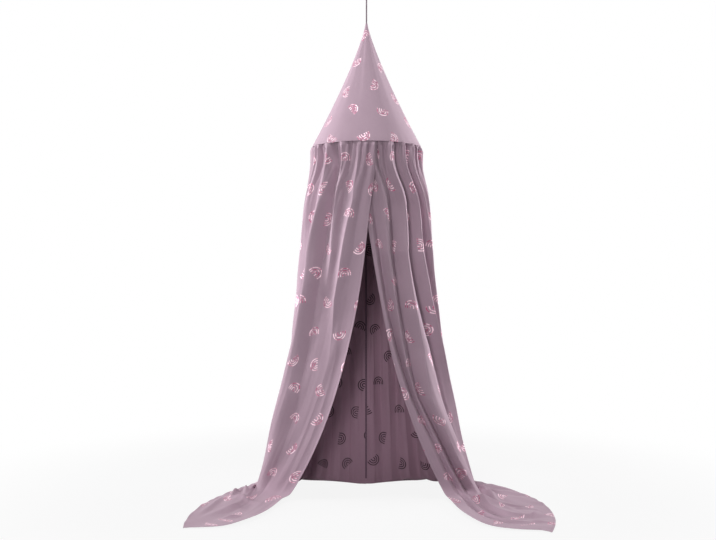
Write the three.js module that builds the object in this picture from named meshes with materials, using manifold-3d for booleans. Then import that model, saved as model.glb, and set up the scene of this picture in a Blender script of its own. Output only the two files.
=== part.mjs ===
// Hanging bed canopy: a ceiling swivel hook, a cord, a cloth cone over a hoop and two curtain panels.
// Millimetres, +Z up. The origin is the middle of the ceiling plate's top face, which all hangs below.

import * as THREE from 'three';
import { mergeVertices } from 'three/addons/utils/BufferGeometryUtils.js';
import Module from 'manifold-3d';

const wasm = await Module();
wasm.setup();

// Fits and counts
const quarter = 90;
const clearance = 0.3;
const overrun = 2;
const roundSides = 32;
const wireSides = 12;
const cordSides = 8;
const hoopSides = 8;
const ringSteps = 48;

// Ceiling plate and swivel
const plateDiameter = 64;
const plateThickness = 5;
const plateEdgeRound = 1.5;
const bossDiameter = 24;
const bossDrop = 9;
const pocketDiameter = 15;
const screwHoleDiameter = 4.6;
const screwHeadDiameter = 9;
const screwHeadDepth = 2.6;
const screwSpacing = 44;
const retainerFlangeDiameter = 22;
const retainerFlangeThickness = 2;
const hookWireDiameter = 4.6;
const hookHeadDiameter = 12;
const hookHeadThickness = 3;
const hookStemLength = 8;
const hookNeckLength = 9;
const hookBowlRadius = 10;
const hookTipAngle = 205;
const hookNeckAngle = 38;
const hookArcPoints = 9;
const hookSteps = 36;

// Cord
const cordDiameter = 6;
const cordLoopLength = 42;
const cordLoopWidth = 24;
const cordLegGap = 0.8;
const cordVisibleLength = 112;
const cordSteps = 64;
const crimpLength = 18;
const crimpWall = 1.4;

// Cone and what is sewn or knotted inside it
const clothThickness = 1;
const coneHeight = 519;
const conePower = 1.25;
const coneColumns = 26;
const coneRowShares = [0, 0.03, 0.08, 0.16, 0.28, 0.42, 0.58, 0.76, 0.9, 1];
const coneCreaseDepth = 3;
const coneCreaseCount = 5;
const coneSeamTapeWidth = 12;
const coneSeamTapeThickness = 1;
const coneSeamTapeColumns = 3;
const coneSeamTapeStartRadius = 24;
const washerDiameter = 24;
const washerThickness = 4;
const washerRoundShare = 0.25;
const knotDiameter = 15;
const knotLength = 18;

// Hoop and its channel
const hoopRodDiameter = 8;
const sleeveWall = 1;
const sleeveAngle = 14;
const hoopStepsPerHalf = 48;
const sleeveSteps = 4;
const channelWall = 1.1;
const channelPlay = 0.8;
const channelWrapAngle = 250;
const channelSections = 6;
const bandWidth = 12;
const bandHeight = 5;

// Curtain: overall sizes
const ringRadius = 225;
const ringHeight = 1450;
const panelSeamGap = 0.3;
const foldCount = 8;
const columnsPerFold = 4;
const tailLift = 0.3;
const tailLayerGap = 0.6;
const seamTapeWidth = 8;
const seamTapeThickness = 1.2;

// Curtain: how the hanging part widens towards the floor, as shares of the ring's radius and height
const flareEarlyShare = 0.22;
const flareEarlyFallShare = 0.1;
const flareLateShare = 0.9;
const flareLatePower = 2.6;
const frontDepthShare = 0.8;
const frontDepthPower = 1.4;
const backBulgeShare = 0.46;
const backGrowthShare = 0.2;
const fanShare = 0.1;
const fanEndShare = 0.3;
const circleEndShare = 0.14;
const foldRoomShare = 0.09;

// Curtain: depth of the folds at three heights
const foldDepthTop = 5;
const foldDepthMiddle = 16;
const foldDepthFoot = 25;
const lapOffset = 4;
const footBend = 26;
const seamFootBend = 1;
const foldMiddleShare = 0.5;
const ridgePower = 2.6;
const foldVaryShare = 0.35;
const foldVaryCycles = 2.3;
const backCalmShare = 0.5;
const ledgeShare = 0.55;
const ledgeFallPower = 1.3;

// Curtain: rows of the sheet, as shares of the hanging height, steps of the foot's bend
// and shares of the part on the floor
const hangingShares = [0, 0.035, 0.09, 0.18, 0.32, 0.5, 0.68, 0.85];
const bendSteps = [-3, -1, 1, 3];
const floorShares = [0.22, 0.46, 0.72, 1];
const bendReach = 3;
const lyingSteps = [-1, 2];
const probeShare = 0.002;

// Curtain: where along the width or height each effect begins and ends, as shares
const seamFlatShares = [0.012, 0.07];
const edgeFlatShares = [0, 0.035];
const bendGrowShares = [0.02, 0.35];
const flatTailShares = [0.28, 0.42];
const bowShares = [0.55, 1];
const lapShares = [0.72, 0.88];
const lapEndShares = [0.3, 0.5];
const lapCalmShare = 0.92;
const calmShares = [0.2, 0.45];
const calmStartShares = [0.1, 0.5];
const smoothFrontShares = [0.55, 0.72];
const smoothStartShares = [0.25, 0.6];
const pleatShares = [0.6, 0.8];
const pleatStartShares = [0.3, 0.7];

// Curtain: what differs between the two panels, lengths as shares of the ring's radius
const panels = {
  left: {
    side: -1,
    widthShare: 1,
    edgeShares: { start: -0.187, linear: 0.444, late: 1.178, latePower: 3 },
    hemBackShare: 2.42,
    hemGrowthShare: 1.32,
    hemGrowthFrom: 68,
    hemTipAngle: 127,
    hemPower: 1.6,
    bowInShare: 0.09,
    bowFrontShare: 0.84,
    bowPower: 1.3,
    lapSign: 1,
    smoothFrontShare: 0.85,
    frontPleatShare: 0,
    layerShare: 0
  },
  right: {
    side: 1,
    widthShare: 1.03,
    edgeShares: { start: -0.156, linear: 0.978, late: 0.653, latePower: 4 },
    hemBackShare: 2.46,
    hemGrowthShare: 1.4,
    hemGrowthFrom: 58,
    hemTipAngle: 130.8,
    hemPower: 1.2,
    bowInShare: 0.18,
    bowFrontShare: 0.93,
    bowPower: 1.6,
    lapSign: -1,
    smoothFrontShare: 0,
    frontPleatShare: 0.35,
    layerShare: 1
  }
};

// Finishes
const finishes = {
  cloth: { color: 0xa98fa2, roughness: 0.8, metalness: 0 },
  tape: { color: 0x8d7486, roughness: 0.85, metalness: 0 },
  cord: { color: 0x7d6d78, roughness: 0.85, metalness: 0 },
  steel: { color: 0xc9ccd0, roughness: 0.3, metalness: 1 },
  plastic: { color: 0xf2f0ee, roughness: 0.4, metalness: 0 },
  rod: { color: 0xe9e6e0, roughness: 0.45, metalness: 0 },
  wood: { color: 0xc89f6d, roughness: 0.6, metalness: 0 }
};

// Levels, from the ceiling down
const bossBottom = -(plateThickness + bossDrop);
const headTop = -(plateThickness + clearance);
const headBottom = headTop - hookHeadThickness;
const retainerTop = headBottom - clearance;
const retainerFlangeTop = bossBottom - clearance;
const stemBottom = retainerFlangeTop - retainerFlangeThickness - hookStemLength;
const bowlCentre = stemBottom - hookNeckLength - hookBowlRadius;
const bowlBottom = bowlCentre - hookBowlRadius;
const loopTop = bowlBottom + hookWireDiameter / 2 + clearance + cordDiameter / 2;
const crimpTop = loopTop - cordLoopLength;
const crimpBottom = crimpTop - crimpLength;
const apexZ = crimpBottom - cordVisibleLength;
const ringZ = apexZ - coneHeight;
const floorZ = ringZ - ringHeight;
const bandBottom = ringZ + clearance;
const bandTop = bandBottom + bandHeight;
const coneFootSlope = conePower * ringRadius / coneHeight;
const coneFootLean = clothThickness * coneFootSlope / Math.hypot(1, coneFootSlope);
const coneFootZ = bandTop + clearance + coneFootLean;
const coneDrop = apexZ - coneFootZ;

// Small helpers

function smooth(from, to, x) {
  const k = Math.min(Math.max((x - from) / (to - from), 0), 1);
  return k * k * (3 - 2 * k);
}

// Rises from 0 to a slope of 1 round x = 0, which rounds the crease where the cloth meets the floor
function softStep(x) {
  return Math.max(x, 0) + Math.log1p(Math.exp(-Math.abs(x)));
}

function radians(degrees) {
  return THREE.MathUtils.degToRad(degrees);
}

// Closed solid of a geometry, with its faces pointing out
function toSolid(geometry) {
  const plain = geometry.clone();
  plain.deleteAttribute('normal');
  plain.deleteAttribute('uv');
  const merged = mergeVertices(plain);
  const position = merged.attributes.position;
  const corner = [0, 1, 2].map(() => new THREE.Vector3());
  const kept = [];
  let volume = 0;
  for (let k = 0; k < merged.index.count; k += 3) {
    const [a, b, c] = [0, 1, 2].map((offset) => merged.index.getX(k + offset));
    if (a !== b && b !== c && c !== a) {
      [a, b, c].forEach((id, n) => corner[n].fromBufferAttribute(position, id));
      volume += corner[0].dot(corner[1].clone().cross(corner[2]));
      kept.push(a, b, c);
    }
  }
  if (volume < 0) {
    kept.reverse();
  }
  return new wasm.Manifold(new wasm.Mesh({
    numProp: 3,
    vertProperties: new Float32Array(position.array),
    triVerts: new Uint32Array(kept)
  }));
}

function toGeometry(solid) {
  const mesh = solid.getMesh();
  const geometry = new THREE.BufferGeometry();
  geometry.setAttribute('position', new THREE.BufferAttribute(mesh.vertProperties.slice(), 3));
  geometry.setIndex(new THREE.BufferAttribute(mesh.triVerts.slice(), 1));
  geometry.computeVertexNormals();
  return geometry;
}

function join(geometries) {
  let solid = toSolid(geometries[0]);
  for (const geometry of geometries.slice(1)) {
    solid = solid.add(toSolid(geometry));
  }
  return toGeometry(solid);
}

function cut(geometry, tools) {
  let solid = toSolid(geometry);
  for (const tool of tools) {
    solid = solid.subtract(toSolid(tool));
  }
  return toGeometry(solid);
}

// Turned solid: the profile is a list of [radius, z] pairs, the axis is Z
function turned(profile, sides) {
  const points = profile.map(([radius, z]) => new THREE.Vector2(radius, z));
  const geometry = new THREE.LatheGeometry(points, sides);
  geometry.rotateX(Math.PI / 2);
  return toGeometry(toSolid(geometry));
}

function circleShape(radius, sides) {
  const points = [];
  for (let i = 0; i < sides; i += 1) {
    const angle = 2 * Math.PI * i / sides;
    points.push(new THREE.Vector2(radius * Math.cos(angle), radius * Math.sin(angle)));
  }
  return new THREE.Shape(points);
}

// Round bar or tube wall swept along a curve
function swept(curve, shape, steps) {
  return new THREE.ExtrudeGeometry(shape, {
    steps,
    extrudePath: curve,
    curveSegments: 1,
    bevelEnabled: false
  });
}

// Arc in the level plane, angles in degrees, for the hoop and its sleeves
class LevelArc extends THREE.Curve {
  constructor(radius, z, fromAngle, toAngle) {
    super();
    this.radius = radius;
    this.z = z;
    this.fromAngle = radians(fromAngle);
    this.toAngle = radians(toAngle);
  }

  getPoint(t, target = new THREE.Vector3()) {
    const angle = this.fromAngle + (this.toAngle - this.fromAngle) * t;
    return target.set(this.radius * Math.cos(angle), this.radius * Math.sin(angle), this.z);
  }
}

// Closed thick sheet: pointAt(i, j) is the outer face, normalAt(i, j) points out of it
function thickSheet(columns, rows, thickness, pointAt, normalAt) {
  const positions = [];
  const index = [];
  for (const depth of [0, thickness]) {
    for (let i = 0; i < rows; i += 1) {
      for (let j = 0; j < columns; j += 1) {
        const point = pointAt(i, j).addScaledVector(normalAt(i, j), -depth);
        positions.push(point.x, point.y, point.z);
      }
    }
  }
  const layer = columns * rows;
  const at = (i, j, k) => k * layer + i * columns + j;
  for (let i = 0; i < rows - 1; i += 1) {
    for (let j = 0; j < columns - 1; j += 1) {
      const [a, b, c, d] = [[i, j], [i + 1, j], [i + 1, j + 1], [i, j + 1]];
      index.push(at(...a, 0), at(...b, 0), at(...c, 0), at(...a, 0), at(...c, 0), at(...d, 0));
      index.push(at(...a, 1), at(...c, 1), at(...b, 1), at(...a, 1), at(...d, 1), at(...c, 1));
    }
  }
  const rim = [];
  for (let j = 0; j < columns - 1; j += 1) {
    rim.push([0, j]);
  }
  for (let i = 0; i < rows - 1; i += 1) {
    rim.push([i, columns - 1]);
  }
  for (let j = columns - 1; j > 0; j -= 1) {
    rim.push([rows - 1, j]);
  }
  for (let i = rows - 1; i > 0; i -= 1) {
    rim.push([i, 0]);
  }
  rim.forEach(([i, j], k) => {
    const [p, q] = rim[(k + 1) % rim.length];
    index.push(at(i, j, 0), at(p, q, 0), at(p, q, 1), at(i, j, 0), at(p, q, 1), at(i, j, 1));
  });
  const geometry = new THREE.BufferGeometry();
  geometry.setAttribute('position', new THREE.Float32BufferAttribute(positions, 3));
  geometry.setIndex(index);
  return toGeometry(toSolid(geometry));
}

// Curtain panel. Across it, t runs from the back seam (0) to the front edge (1).
// Down it, s runs from the ring (0) to the floor (1), then f runs out along the floor to the hem (1).
// Points are worked out in the panel's own outward direction (out) and front-to-back direction (back).
class CurtainPanel {
  constructor(sizes) {
    Object.assign(this, sizes);
  }

  flare(s) {
    const early = flareEarlyShare * (1 - Math.exp(-s / flareEarlyFallShare));
    return 1 + (early + flareLateShare * s ** flareLatePower) * this.widthShare;
  }

  frontEdge(s) {
    const { start, linear, late, latePower } = this.edgeShares;
    return {
      out: ringRadius * (start + linear * s + late * s ** latePower),
      back: -ringRadius * (1 - frontDepthShare * s ** frontDepthPower)
    };
  }

  // Level curve that the folds ride on: a circle at the ring, lower down an open tent
  level(t, s) {
    const edge = this.frontEdge(s);
    const halfWidth = ringRadius * (this.flare(s) - foldRoomShare);
    const halfDepth = ringRadius * (1 + backGrowthShare * s);
    const backLength = Math.hypot(halfWidth, halfDepth);
    const frontLength = Math.hypot(halfWidth - edge.out, edge.back);
    const turn = backLength / (backLength + frontLength);
    const along = t - fanShare * smooth(0, fanEndShare, s) * Math.sin(Math.PI * t);
    const tent = { out: 0, back: 0 };
    if (along <= turn) {
      const angle = Math.PI / 2 * along / turn;
      const bulge = backBulgeShare * s * Math.sin(angle) * Math.cos(angle) ** 2;
      tent.out = halfWidth * Math.sin(angle);
      tent.back = ringRadius * (Math.cos(angle) + bulge);
    } else {
      const angle = Math.PI / 2 * (along - turn) / (1 - turn);
      tent.out = edge.out + (halfWidth - edge.out) * Math.cos(angle);
      tent.back = edge.back * Math.sin(angle);
    }
    const lap = Math.asin(-this.edgeShares.start);
    const around = t * (Math.PI + lap);
    const opened = smooth(0, circleEndShare, s);
    return {
      out: ringRadius * Math.sin(around) * (1 - opened) + tent.out * opened,
      back: ringRadius * Math.cos(around) * (1 - opened) + tent.back * opened
    };
  }

  // Fold: its depth in millimetres and its wave, 1 on a ridge and -1 in a valley
  fold(t, s) {
    const middle = (foldDepthMiddle - foldDepthTop) * smooth(0, foldMiddleShare, s);
    const foot = (foldDepthFoot - foldDepthMiddle) * smooth(foldMiddleShare, 1, s);
    const vary = 1 + foldVaryShare * Math.sin(2 * Math.PI * foldVaryCycles * t + this.side);
    const calm = 1 - backCalmShare * (1 - smooth(...calmShares, t)) * smooth(...calmStartShares, s);
    const front = smooth(...smoothStartShares, s) * smooth(...smoothFrontShares, t);
    const plain = 1 - this.smoothFrontShare * front;
    const pleat = 1 + this.frontPleatShare * smooth(...pleatStartShares, s) * smooth(...pleatShares, t);
    const lapCalm = 1 - lapCalmShare * this.lapping(t, s);
    const ends = smooth(...seamFlatShares, t) * smooth(...edgeFlatShares, 1 - t);
    return {
      depth: (foldDepthTop + middle + foot) * vary * calm * plain * pleat * lapCalm * ends,
      wave: 1 - 2 * Math.abs(Math.sin(Math.PI * foldCount * t)) ** ridgePower
    };
  }

  // How far a point lies in the part of the front edge that laps the other panel, 0 to 1
  lapping(t, s) {
    return smooth(...lapShares, t) * (1 - smooth(...lapEndShares, s));
  }

  hem(t) {
    const angle = this.hemTipAngle * t;
    const growth = Math.max(angle - this.hemGrowthFrom, 0) / (this.hemTipAngle - this.hemGrowthFrom);
    const radius = ringRadius * (this.hemBackShare + this.hemGrowthShare * growth ** this.hemPower);
    return { out: radius * Math.sin(radians(angle)), back: radius * Math.cos(radians(angle)) };
  }

  bend(t) {
    return seamFootBend + (footBend - seamFootBend) * smooth(...bendGrowShares, t);
  }

  // Length of the floor part at one column
  floorLength(t) {
    const foot = this.level(t, 1);
    const hem = this.hem(t);
    return Math.hypot(hem.out - foot.out, hem.back - foot.back);
  }

  // Level direction out of the sheet at one height
  outward(t, s) {
    const step = 1 / (foldCount * columnsPerFold);
    const before = this.level(Math.max(t - step / 2, 0), s);
    const after = this.level(Math.min(t + step / 2, 1), s);
    const run = Math.hypot(after.out - before.out, after.back - before.back);
    return { out: -(after.back - before.back) / run, back: (after.out - before.out) / run };
  }

  // How far the floor part has moved from the foot of the hanging part, on a path bowed to the front
  drift(t, f) {
    const foot = this.level(t, 1);
    const hem = this.hem(t);
    const peak = 1 / (1 + this.bowPower);
    const peakHeight = peak * (1 - peak) ** this.bowPower;
    const bow = ringRadius * smooth(...bowShares, t) * f * (1 - f) ** this.bowPower / peakHeight;
    return {
      out: (hem.out - foot.out) * f - this.bowInShare * bow,
      back: (hem.back - foot.back) * f - this.bowFrontShare * bow
    };
  }

  // Outer face of the cloth at a length measured down the sheet, the floor crease being at ringHeight
  point(t, length) {
    const bend = this.bend(t);
    const past = (length - ringHeight) / bend;
    const floorRun = bend * softStep(past);
    const height = bend * softStep(-past);
    const s = Math.min(Math.max(1 - height / ringHeight, 0), 1);
    const f = Math.min(floorRun / this.floorLength(t), 1);
    const here = this.level(t, s);
    const outward = this.outward(t, s);
    const drift = this.drift(t, f);
    const { depth, wave } = this.fold(t, s);
    const lying = smooth(...lyingSteps, past);
    const push = (depth * wave + this.lapSign * lapOffset * this.lapping(t, s)) * (1 - lying);
    const ledgeFall = lying * (1 - f) ** ledgeFallPower * smooth(...flatTailShares, t);
    const ledge = ledgeShare * depth * (1 + wave) * ledgeFall;
    const lift = tailLift + clothThickness + this.layerShare * (clothThickness + tailLayerGap);
    return new THREE.Vector3(
      this.side * (here.out + drift.out + outward.out * push + panelSeamGap / 2),
      here.back + drift.back + outward.back * push,
      floorZ + height + ledge + lift * smooth(0, 1, s)
    );
  }

  normal(t, length) {
    const reach = this.bend(t) * probeShare;
    const right = this.point(Math.min(t + probeShare, 1), length);
    const left = this.point(Math.max(t - probeShare, 0), length);
    const down = this.point(t, length + reach);
    const up = this.point(t, length - reach);
    const across = right.sub(left);
    const along = down.sub(up);
    const normal = across.cross(along).multiplyScalar(this.side);
    if (t === 0) {
      normal.x = 0;
    }
    return normal.normalize();
  }

  // Length down the sheet of each row, which follows the bend of its own column
  lengths(t) {
    const bend = this.bend(t);
    const hanging = hangingShares.map((share) => share * (ringHeight - bendReach * bend));
    const bending = bendSteps.map((step) => ringHeight + step * bend);
    const lying = floorShares.map((share) => {
      const start = bendReach * bend;
      return ringHeight + start + share * (this.floorLength(t) - start);
    });
    return [...hanging, ...bending, ...lying];
  }

  geometry() {
    const columns = foldCount * columnsPerFold + 1;
    const rows = hangingShares.length + bendSteps.length + floorShares.length;
    const shareOf = (j) => j / (columns - 1);
    const lengthOf = (i, j) => this.lengths(shareOf(j))[i];
    return thickSheet(
      columns,
      rows,
      clothThickness,
      (i, j) => this.point(shareOf(j), lengthOf(i, j)),
      (i, j) => this.normal(shareOf(j), lengthOf(i, j))
    );
  }
}

// Cone: the share runs from the tip (0) to the foot (1)

const tipRadius = cordDiameter / 2 + clearance + clothThickness;

function coneRadius(share) {
  return tipRadius + (ringRadius - tipRadius) * share ** conePower;
}

function coneSlope(share) {
  return (ringRadius - tipRadius) * conePower * share ** (conePower - 1) / coneDrop;
}

function coneInside(share) {
  return coneRadius(share) - clothThickness * Math.hypot(1, coneSlope(share));
}

function coneCrease(share, around) {
  return coneCreaseDepth * Math.sin(Math.PI * share) * Math.cos(2 * coneCreaseCount * around);
}

// Corner of the faceted cone at one of its columns; depth moves it inwards
function coneCorner(share, column, depth) {
  const around = Math.PI * column / (coneColumns - 1);
  const radius = coneRadius(share) - depth * Math.hypot(1, coneSlope(share)) + coneCrease(share, around);
  return new THREE.Vector3(radius * Math.cos(around), radius * Math.sin(around), apexZ - share * coneDrop);
}

// Part of the cone's wall between two angles, which may lie between its columns
function coneWall(fromAngle, toAngle, columns, rowShares, depth, thickness) {
  const around = (j) => fromAngle + (toAngle - fromAngle) * j / (columns - 1);
  const pointAt = (i, j) => {
    const place = around(j) * (coneColumns - 1) / Math.PI;
    const column = Math.floor(place);
    const next = coneCorner(rowShares[i], column + 1, depth);
    return coneCorner(rowShares[i], column, depth).lerp(next, place - column);
  };
  const normalAt = (i, j) => {
    const slope = coneSlope(rowShares[i]);
    return new THREE.Vector3(Math.cos(around(j)), Math.sin(around(j)), slope).normalize();
  };
  return thickSheet(columns, rowShares.length, thickness, pointAt, normalAt);
}

// Pieces

const pieces = [];

function addPiece(name, geometry, finish, place = new THREE.Vector3()) {
  const mesh = new THREE.Mesh(geometry, new THREE.MeshStandardMaterial(finish));
  mesh.name = name;
  mesh.position.copy(place);
  pieces.push(mesh);
}

// Ceiling plate: a disc with a rounded lower edge, two countersunk holes and a blind socket in its boss
const plateBody = turned([
  [0, 0],
  [plateDiameter / 2, 0],
  [plateDiameter / 2, plateEdgeRound - plateThickness],
  [plateDiameter / 2 - plateEdgeRound, -plateThickness],
  [bossDiameter / 2, -plateThickness],
  [bossDiameter / 2, bossBottom],
  [0, bossBottom]
], roundSides);
const socketTool = turned([
  [0, -plateThickness],
  [pocketDiameter / 2, -plateThickness],
  [pocketDiameter / 2, bossBottom - overrun],
  [0, bossBottom - overrun]
], roundSides);
const screwHoleTool = turned([
  [0, overrun],
  [screwHoleDiameter / 2, overrun],
  [screwHoleDiameter / 2, screwHeadDepth - plateThickness],
  [screwHeadDiameter / 2, -plateThickness],
  [screwHeadDiameter / 2, -plateThickness - overrun],
  [0, -plateThickness - overrun]
], roundSides);
const screwTools = [-1, 1].map((side) => screwHoleTool.clone().translate(side * screwSpacing / 2, 0, 0));
addPiece('ceiling_plate', cut(plateBody, [socketTool, ...screwTools]), finishes.plastic);

// Retainer: a flanged bush in the socket that the hook's head rests on and turns in
addPiece('hook_retainer', turned([
  [hookWireDiameter / 2 + clearance, retainerTop],
  [pocketDiameter / 2 - clearance, retainerTop],
  [pocketDiameter / 2 - clearance, retainerFlangeTop],
  [retainerFlangeDiameter / 2, retainerFlangeTop],
  [retainerFlangeDiameter / 2, retainerFlangeTop - retainerFlangeThickness],
  [hookWireDiameter / 2 + clearance, retainerFlangeTop - retainerFlangeThickness],
  [hookWireDiameter / 2 + clearance, retainerTop]
], roundSides), finishes.plastic);

// Swivel hook: a round head on a stem that bends out and back under the load
const hookPoints = [
  new THREE.Vector3(0, 0, (headTop + headBottom) / 2),
  new THREE.Vector3(0, 0, retainerFlangeTop),
  new THREE.Vector3(0, 0, stemBottom)
];
for (let k = 0; k < hookArcPoints; k += 1) {
  const angle = radians(hookNeckAngle - (hookNeckAngle + hookTipAngle) * k / (hookArcPoints - 1));
  const aside = hookBowlRadius * Math.cos(angle);
  const up = hookBowlRadius * Math.sin(angle);
  hookPoints.push(new THREE.Vector3(aside, 0, bowlCentre + up));
}
const hookCurve = new THREE.CatmullRomCurve3(hookPoints, false, 'centripetal');
const hookTip = new THREE.SphereGeometry(hookWireDiameter / 2, wireSides, wireSides / 2);
hookTip.translate(hookPoints.at(-1).x, 0, hookPoints.at(-1).z);
const hookHead = turned([
  [0, headTop],
  [hookHeadDiameter / 2, headTop],
  [hookHeadDiameter / 2, headBottom],
  [0, headBottom]
], roundSides);
const hookWire = swept(hookCurve, circleShape(hookWireDiameter / 2, wireSides), hookSteps);
addPiece('swivel_hook', join([hookHead, hookWire, hookTip]), finishes.steel);

// Hanging cord: from the knot in the cone's tip through the crimp, over the hook and back into the crimp
const legOffset = (cordDiameter + cordLegGap) / 2;
const washerReach = washerDiameter / 2 + clearance + clothThickness;
const washerShare = ((washerReach - tipRadius) / (ringRadius - tipRadius)) ** (1 / conePower);
const washerTop = apexZ - coneDrop * washerShare - clothThickness;
const washerBottom = washerTop - washerThickness;
const loopRadius = cordLoopWidth / 2;
const loopCentre = loopTop - loopRadius;
const cordPoints = [
  [0, washerBottom],
  [0, apexZ],
  [0, crimpBottom - cordVisibleLength / 2],
  [0, crimpBottom - crimpLength],
  [-legOffset, crimpBottom],
  [-legOffset, crimpTop],
  [-loopRadius, loopCentre],
  [-loopRadius * Math.SQRT1_2, loopCentre + loopRadius * Math.SQRT1_2],
  [0, loopTop],
  [loopRadius * Math.SQRT1_2, loopCentre + loopRadius * Math.SQRT1_2],
  [loopRadius, loopCentre],
  [legOffset, crimpTop],
  [legOffset, crimpBottom]
].map(([y, z]) => new THREE.Vector3(0, y, z));
const cordCurve = new THREE.CatmullRomCurve3(cordPoints, false, 'centripetal');
const cordTube = swept(cordCurve, circleShape(cordDiameter / 2, cordSides), cordSteps);
addPiece('hanging_cord', cordTube, finishes.cord);

// Crimp: a flattened tube pressed round both legs of the cord
function stadium(radius) {
  const points = [];
  for (const side of [1, -1]) {
    for (let k = 0; k <= cordSides; k += 1) {
      const angle = Math.PI * k / cordSides;
      const across = radius * Math.cos(angle);
      const away = legOffset + radius * Math.sin(angle);
      points.push(new THREE.Vector2(side * across, side * away));
    }
  }
  return points;
}
const crimpInside = (cordDiameter / 2 + clearance) / Math.cos(Math.PI / (2 * cordSides));
const crimpShape = new THREE.Shape(stadium(crimpInside + crimpWall));
crimpShape.holes.push(new THREE.Path(stadium(crimpInside)));
const crimpTube = new THREE.ExtrudeGeometry(crimpShape, {
  depth: crimpLength,
  curveSegments: 1,
  bevelEnabled: false
});
addPiece('cord_crimp', crimpTube, finishes.steel, new THREE.Vector3(0, 0, crimpBottom));

// Washer inside the cone's tip, which spreads the pull, and the stopper knot below it
const cordHoleRadius = cordDiameter / 2 + clearance;
const washerRound = washerThickness * washerRoundShare;
addPiece('apex_washer', turned([
  [cordHoleRadius, washerBottom],
  [washerDiameter / 2 - washerRound, washerBottom],
  [washerDiameter / 2, washerBottom + washerRound],
  [washerDiameter / 2, washerTop - washerRound],
  [washerDiameter / 2 - washerRound, washerTop],
  [cordHoleRadius, washerTop],
  [cordHoleRadius, washerBottom]
], roundSides), finishes.wood);
const knotTop = washerBottom - clearance;
const knotShares = [[0, 0], [0.7, 0], [1, 0.22], [0.86, 0.5], [0.94, 0.74], [0.45, 1], [0, 1]];
addPiece('stopper_knot', turned(knotShares.map(([radius, drop]) => [
  radius * knotDiameter / 2,
  knotTop - drop * knotLength
]), wireSides), finishes.cord);

// Cone: a front and a back half that meet along the two side seams, each seam backed by a tape
const halfGap = panelSeamGap / 2;
addPiece(
  'cone_front',
  coneWall(-Math.PI, 0, coneColumns, coneRowShares, 0, clothThickness),
  finishes.cloth,
  new THREE.Vector3(0, -halfGap, 0)
);
addPiece(
  'cone_back',
  coneWall(0, Math.PI, coneColumns, coneRowShares, 0, clothThickness),
  finishes.cloth,
  new THREE.Vector3(0, halfGap, 0)
);
const tapeRowShares = coneRowShares.filter((share) => coneRadius(share) > coneSeamTapeStartRadius);
for (const [name, middle] of [['cone_seam_tape_right', 0], ['cone_seam_tape_left', Math.PI]]) {
  const half = coneSeamTapeWidth / 2 / ringRadius;
  const tape = coneWall(
    middle - half,
    middle + half,
    coneSeamTapeColumns,
    tapeRowShares,
    clothThickness + clearance,
    coneSeamTapeThickness
  );
  addPiece(name, tape, finishes.tape);
}

// Seam band: the turned-in cloth and tape that the cone and the curtain are both sewn to
addPiece('seam_band', turned([
  [ringRadius - bandWidth, bandBottom],
  [ringRadius, bandBottom],
  [ringRadius, bandTop],
  [ringRadius - bandWidth, bandTop],
  [ringRadius - bandWidth, bandBottom]
], ringSteps), finishes.cloth);

// Hoop: two half rods pushed into two sleeves, lying in a cloth channel sewn inside the cone's foot
const hoopRodRadius = hoopRodDiameter / 2;
const sleeveInside = (hoopRodRadius + clearance) / Math.cos(Math.PI / hoopSides);
const sleeveOutside = sleeveInside + sleeveWall;
const channelInside = sleeveOutside + channelPlay;
const channelOutside = channelInside + channelWall;
const hoopZ = bandTop + clearance + channelOutside;
const hoopShare = (apexZ - hoopZ) / coneDrop;
const hoopInset = (channelOutside + channelPlay) * Math.hypot(1, coneSlope(hoopShare));
const hoopRadius = coneInside(hoopShare) - hoopInset;
const rodGapAngle = THREE.MathUtils.radToDeg(clearance / 2 / hoopRadius);
for (const [name, middle] of [['hoop_half_right', 0], ['hoop_half_left', 2 * quarter]]) {
  const start = middle - quarter + rodGapAngle;
  const end = middle + quarter - rodGapAngle;
  const arc = new LevelArc(hoopRadius, hoopZ, start, end);
  addPiece(name, swept(arc, circleShape(hoopRodRadius, hoopSides), hoopStepsPerHalf), finishes.rod);
}
for (const [name, middle] of [['hoop_sleeve_back', quarter], ['hoop_sleeve_front', -quarter]]) {
  const arc = new LevelArc(hoopRadius, hoopZ, middle - sleeveAngle / 2, middle + sleeveAngle / 2);
  const shape = circleShape(sleeveOutside, hoopSides);
  shape.holes.push(new THREE.Path(circleShape(sleeveInside, hoopSides).getPoints()));
  addPiece(name, swept(arc, shape, sleeveSteps), finishes.steel);
}
const channelProfile = [];
for (const [radius, way] of [[channelOutside, 1], [channelInside, -1]]) {
  for (let k = 0; k <= channelSections; k += 1) {
    const turn = way * (k / channelSections - 1 / 2);
    const angle = Math.PI + radians(channelWrapAngle * turn);
    channelProfile.push([hoopRadius + radius * Math.cos(angle), hoopZ + radius * Math.sin(angle)]);
  }
}
channelProfile.push(channelProfile[0]);
addPiece('hoop_channel', turned(channelProfile, ringSteps), finishes.tape);

// Curtain panels
addPiece('curtain_left_panel', new CurtainPanel(panels.left).geometry(), finishes.cloth);
addPiece('curtain_right_panel', new CurtainPanel(panels.right).geometry(), finishes.cloth);

// Back seam tape: a narrow tape down the inside of the seam that joins the two panels
const seamTapeTop = ringZ;
const seamTapeBottom = floorZ + footBend;
const seamTapeDepth = ringRadius - clothThickness - clearance - seamTapeThickness / 2;
addPiece(
  'back_seam_tape',
  new THREE.BoxGeometry(seamTapeWidth, seamTapeThickness, seamTapeTop - seamTapeBottom),
  finishes.tape,
  new THREE.Vector3(0, seamTapeDepth, (seamTapeTop + seamTapeBottom) / 2)
);

const canopy = new THREE.Group();
canopy.name = 'bed_crown_canopy';
canopy.add(...pieces);

export default canopy;
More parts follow.
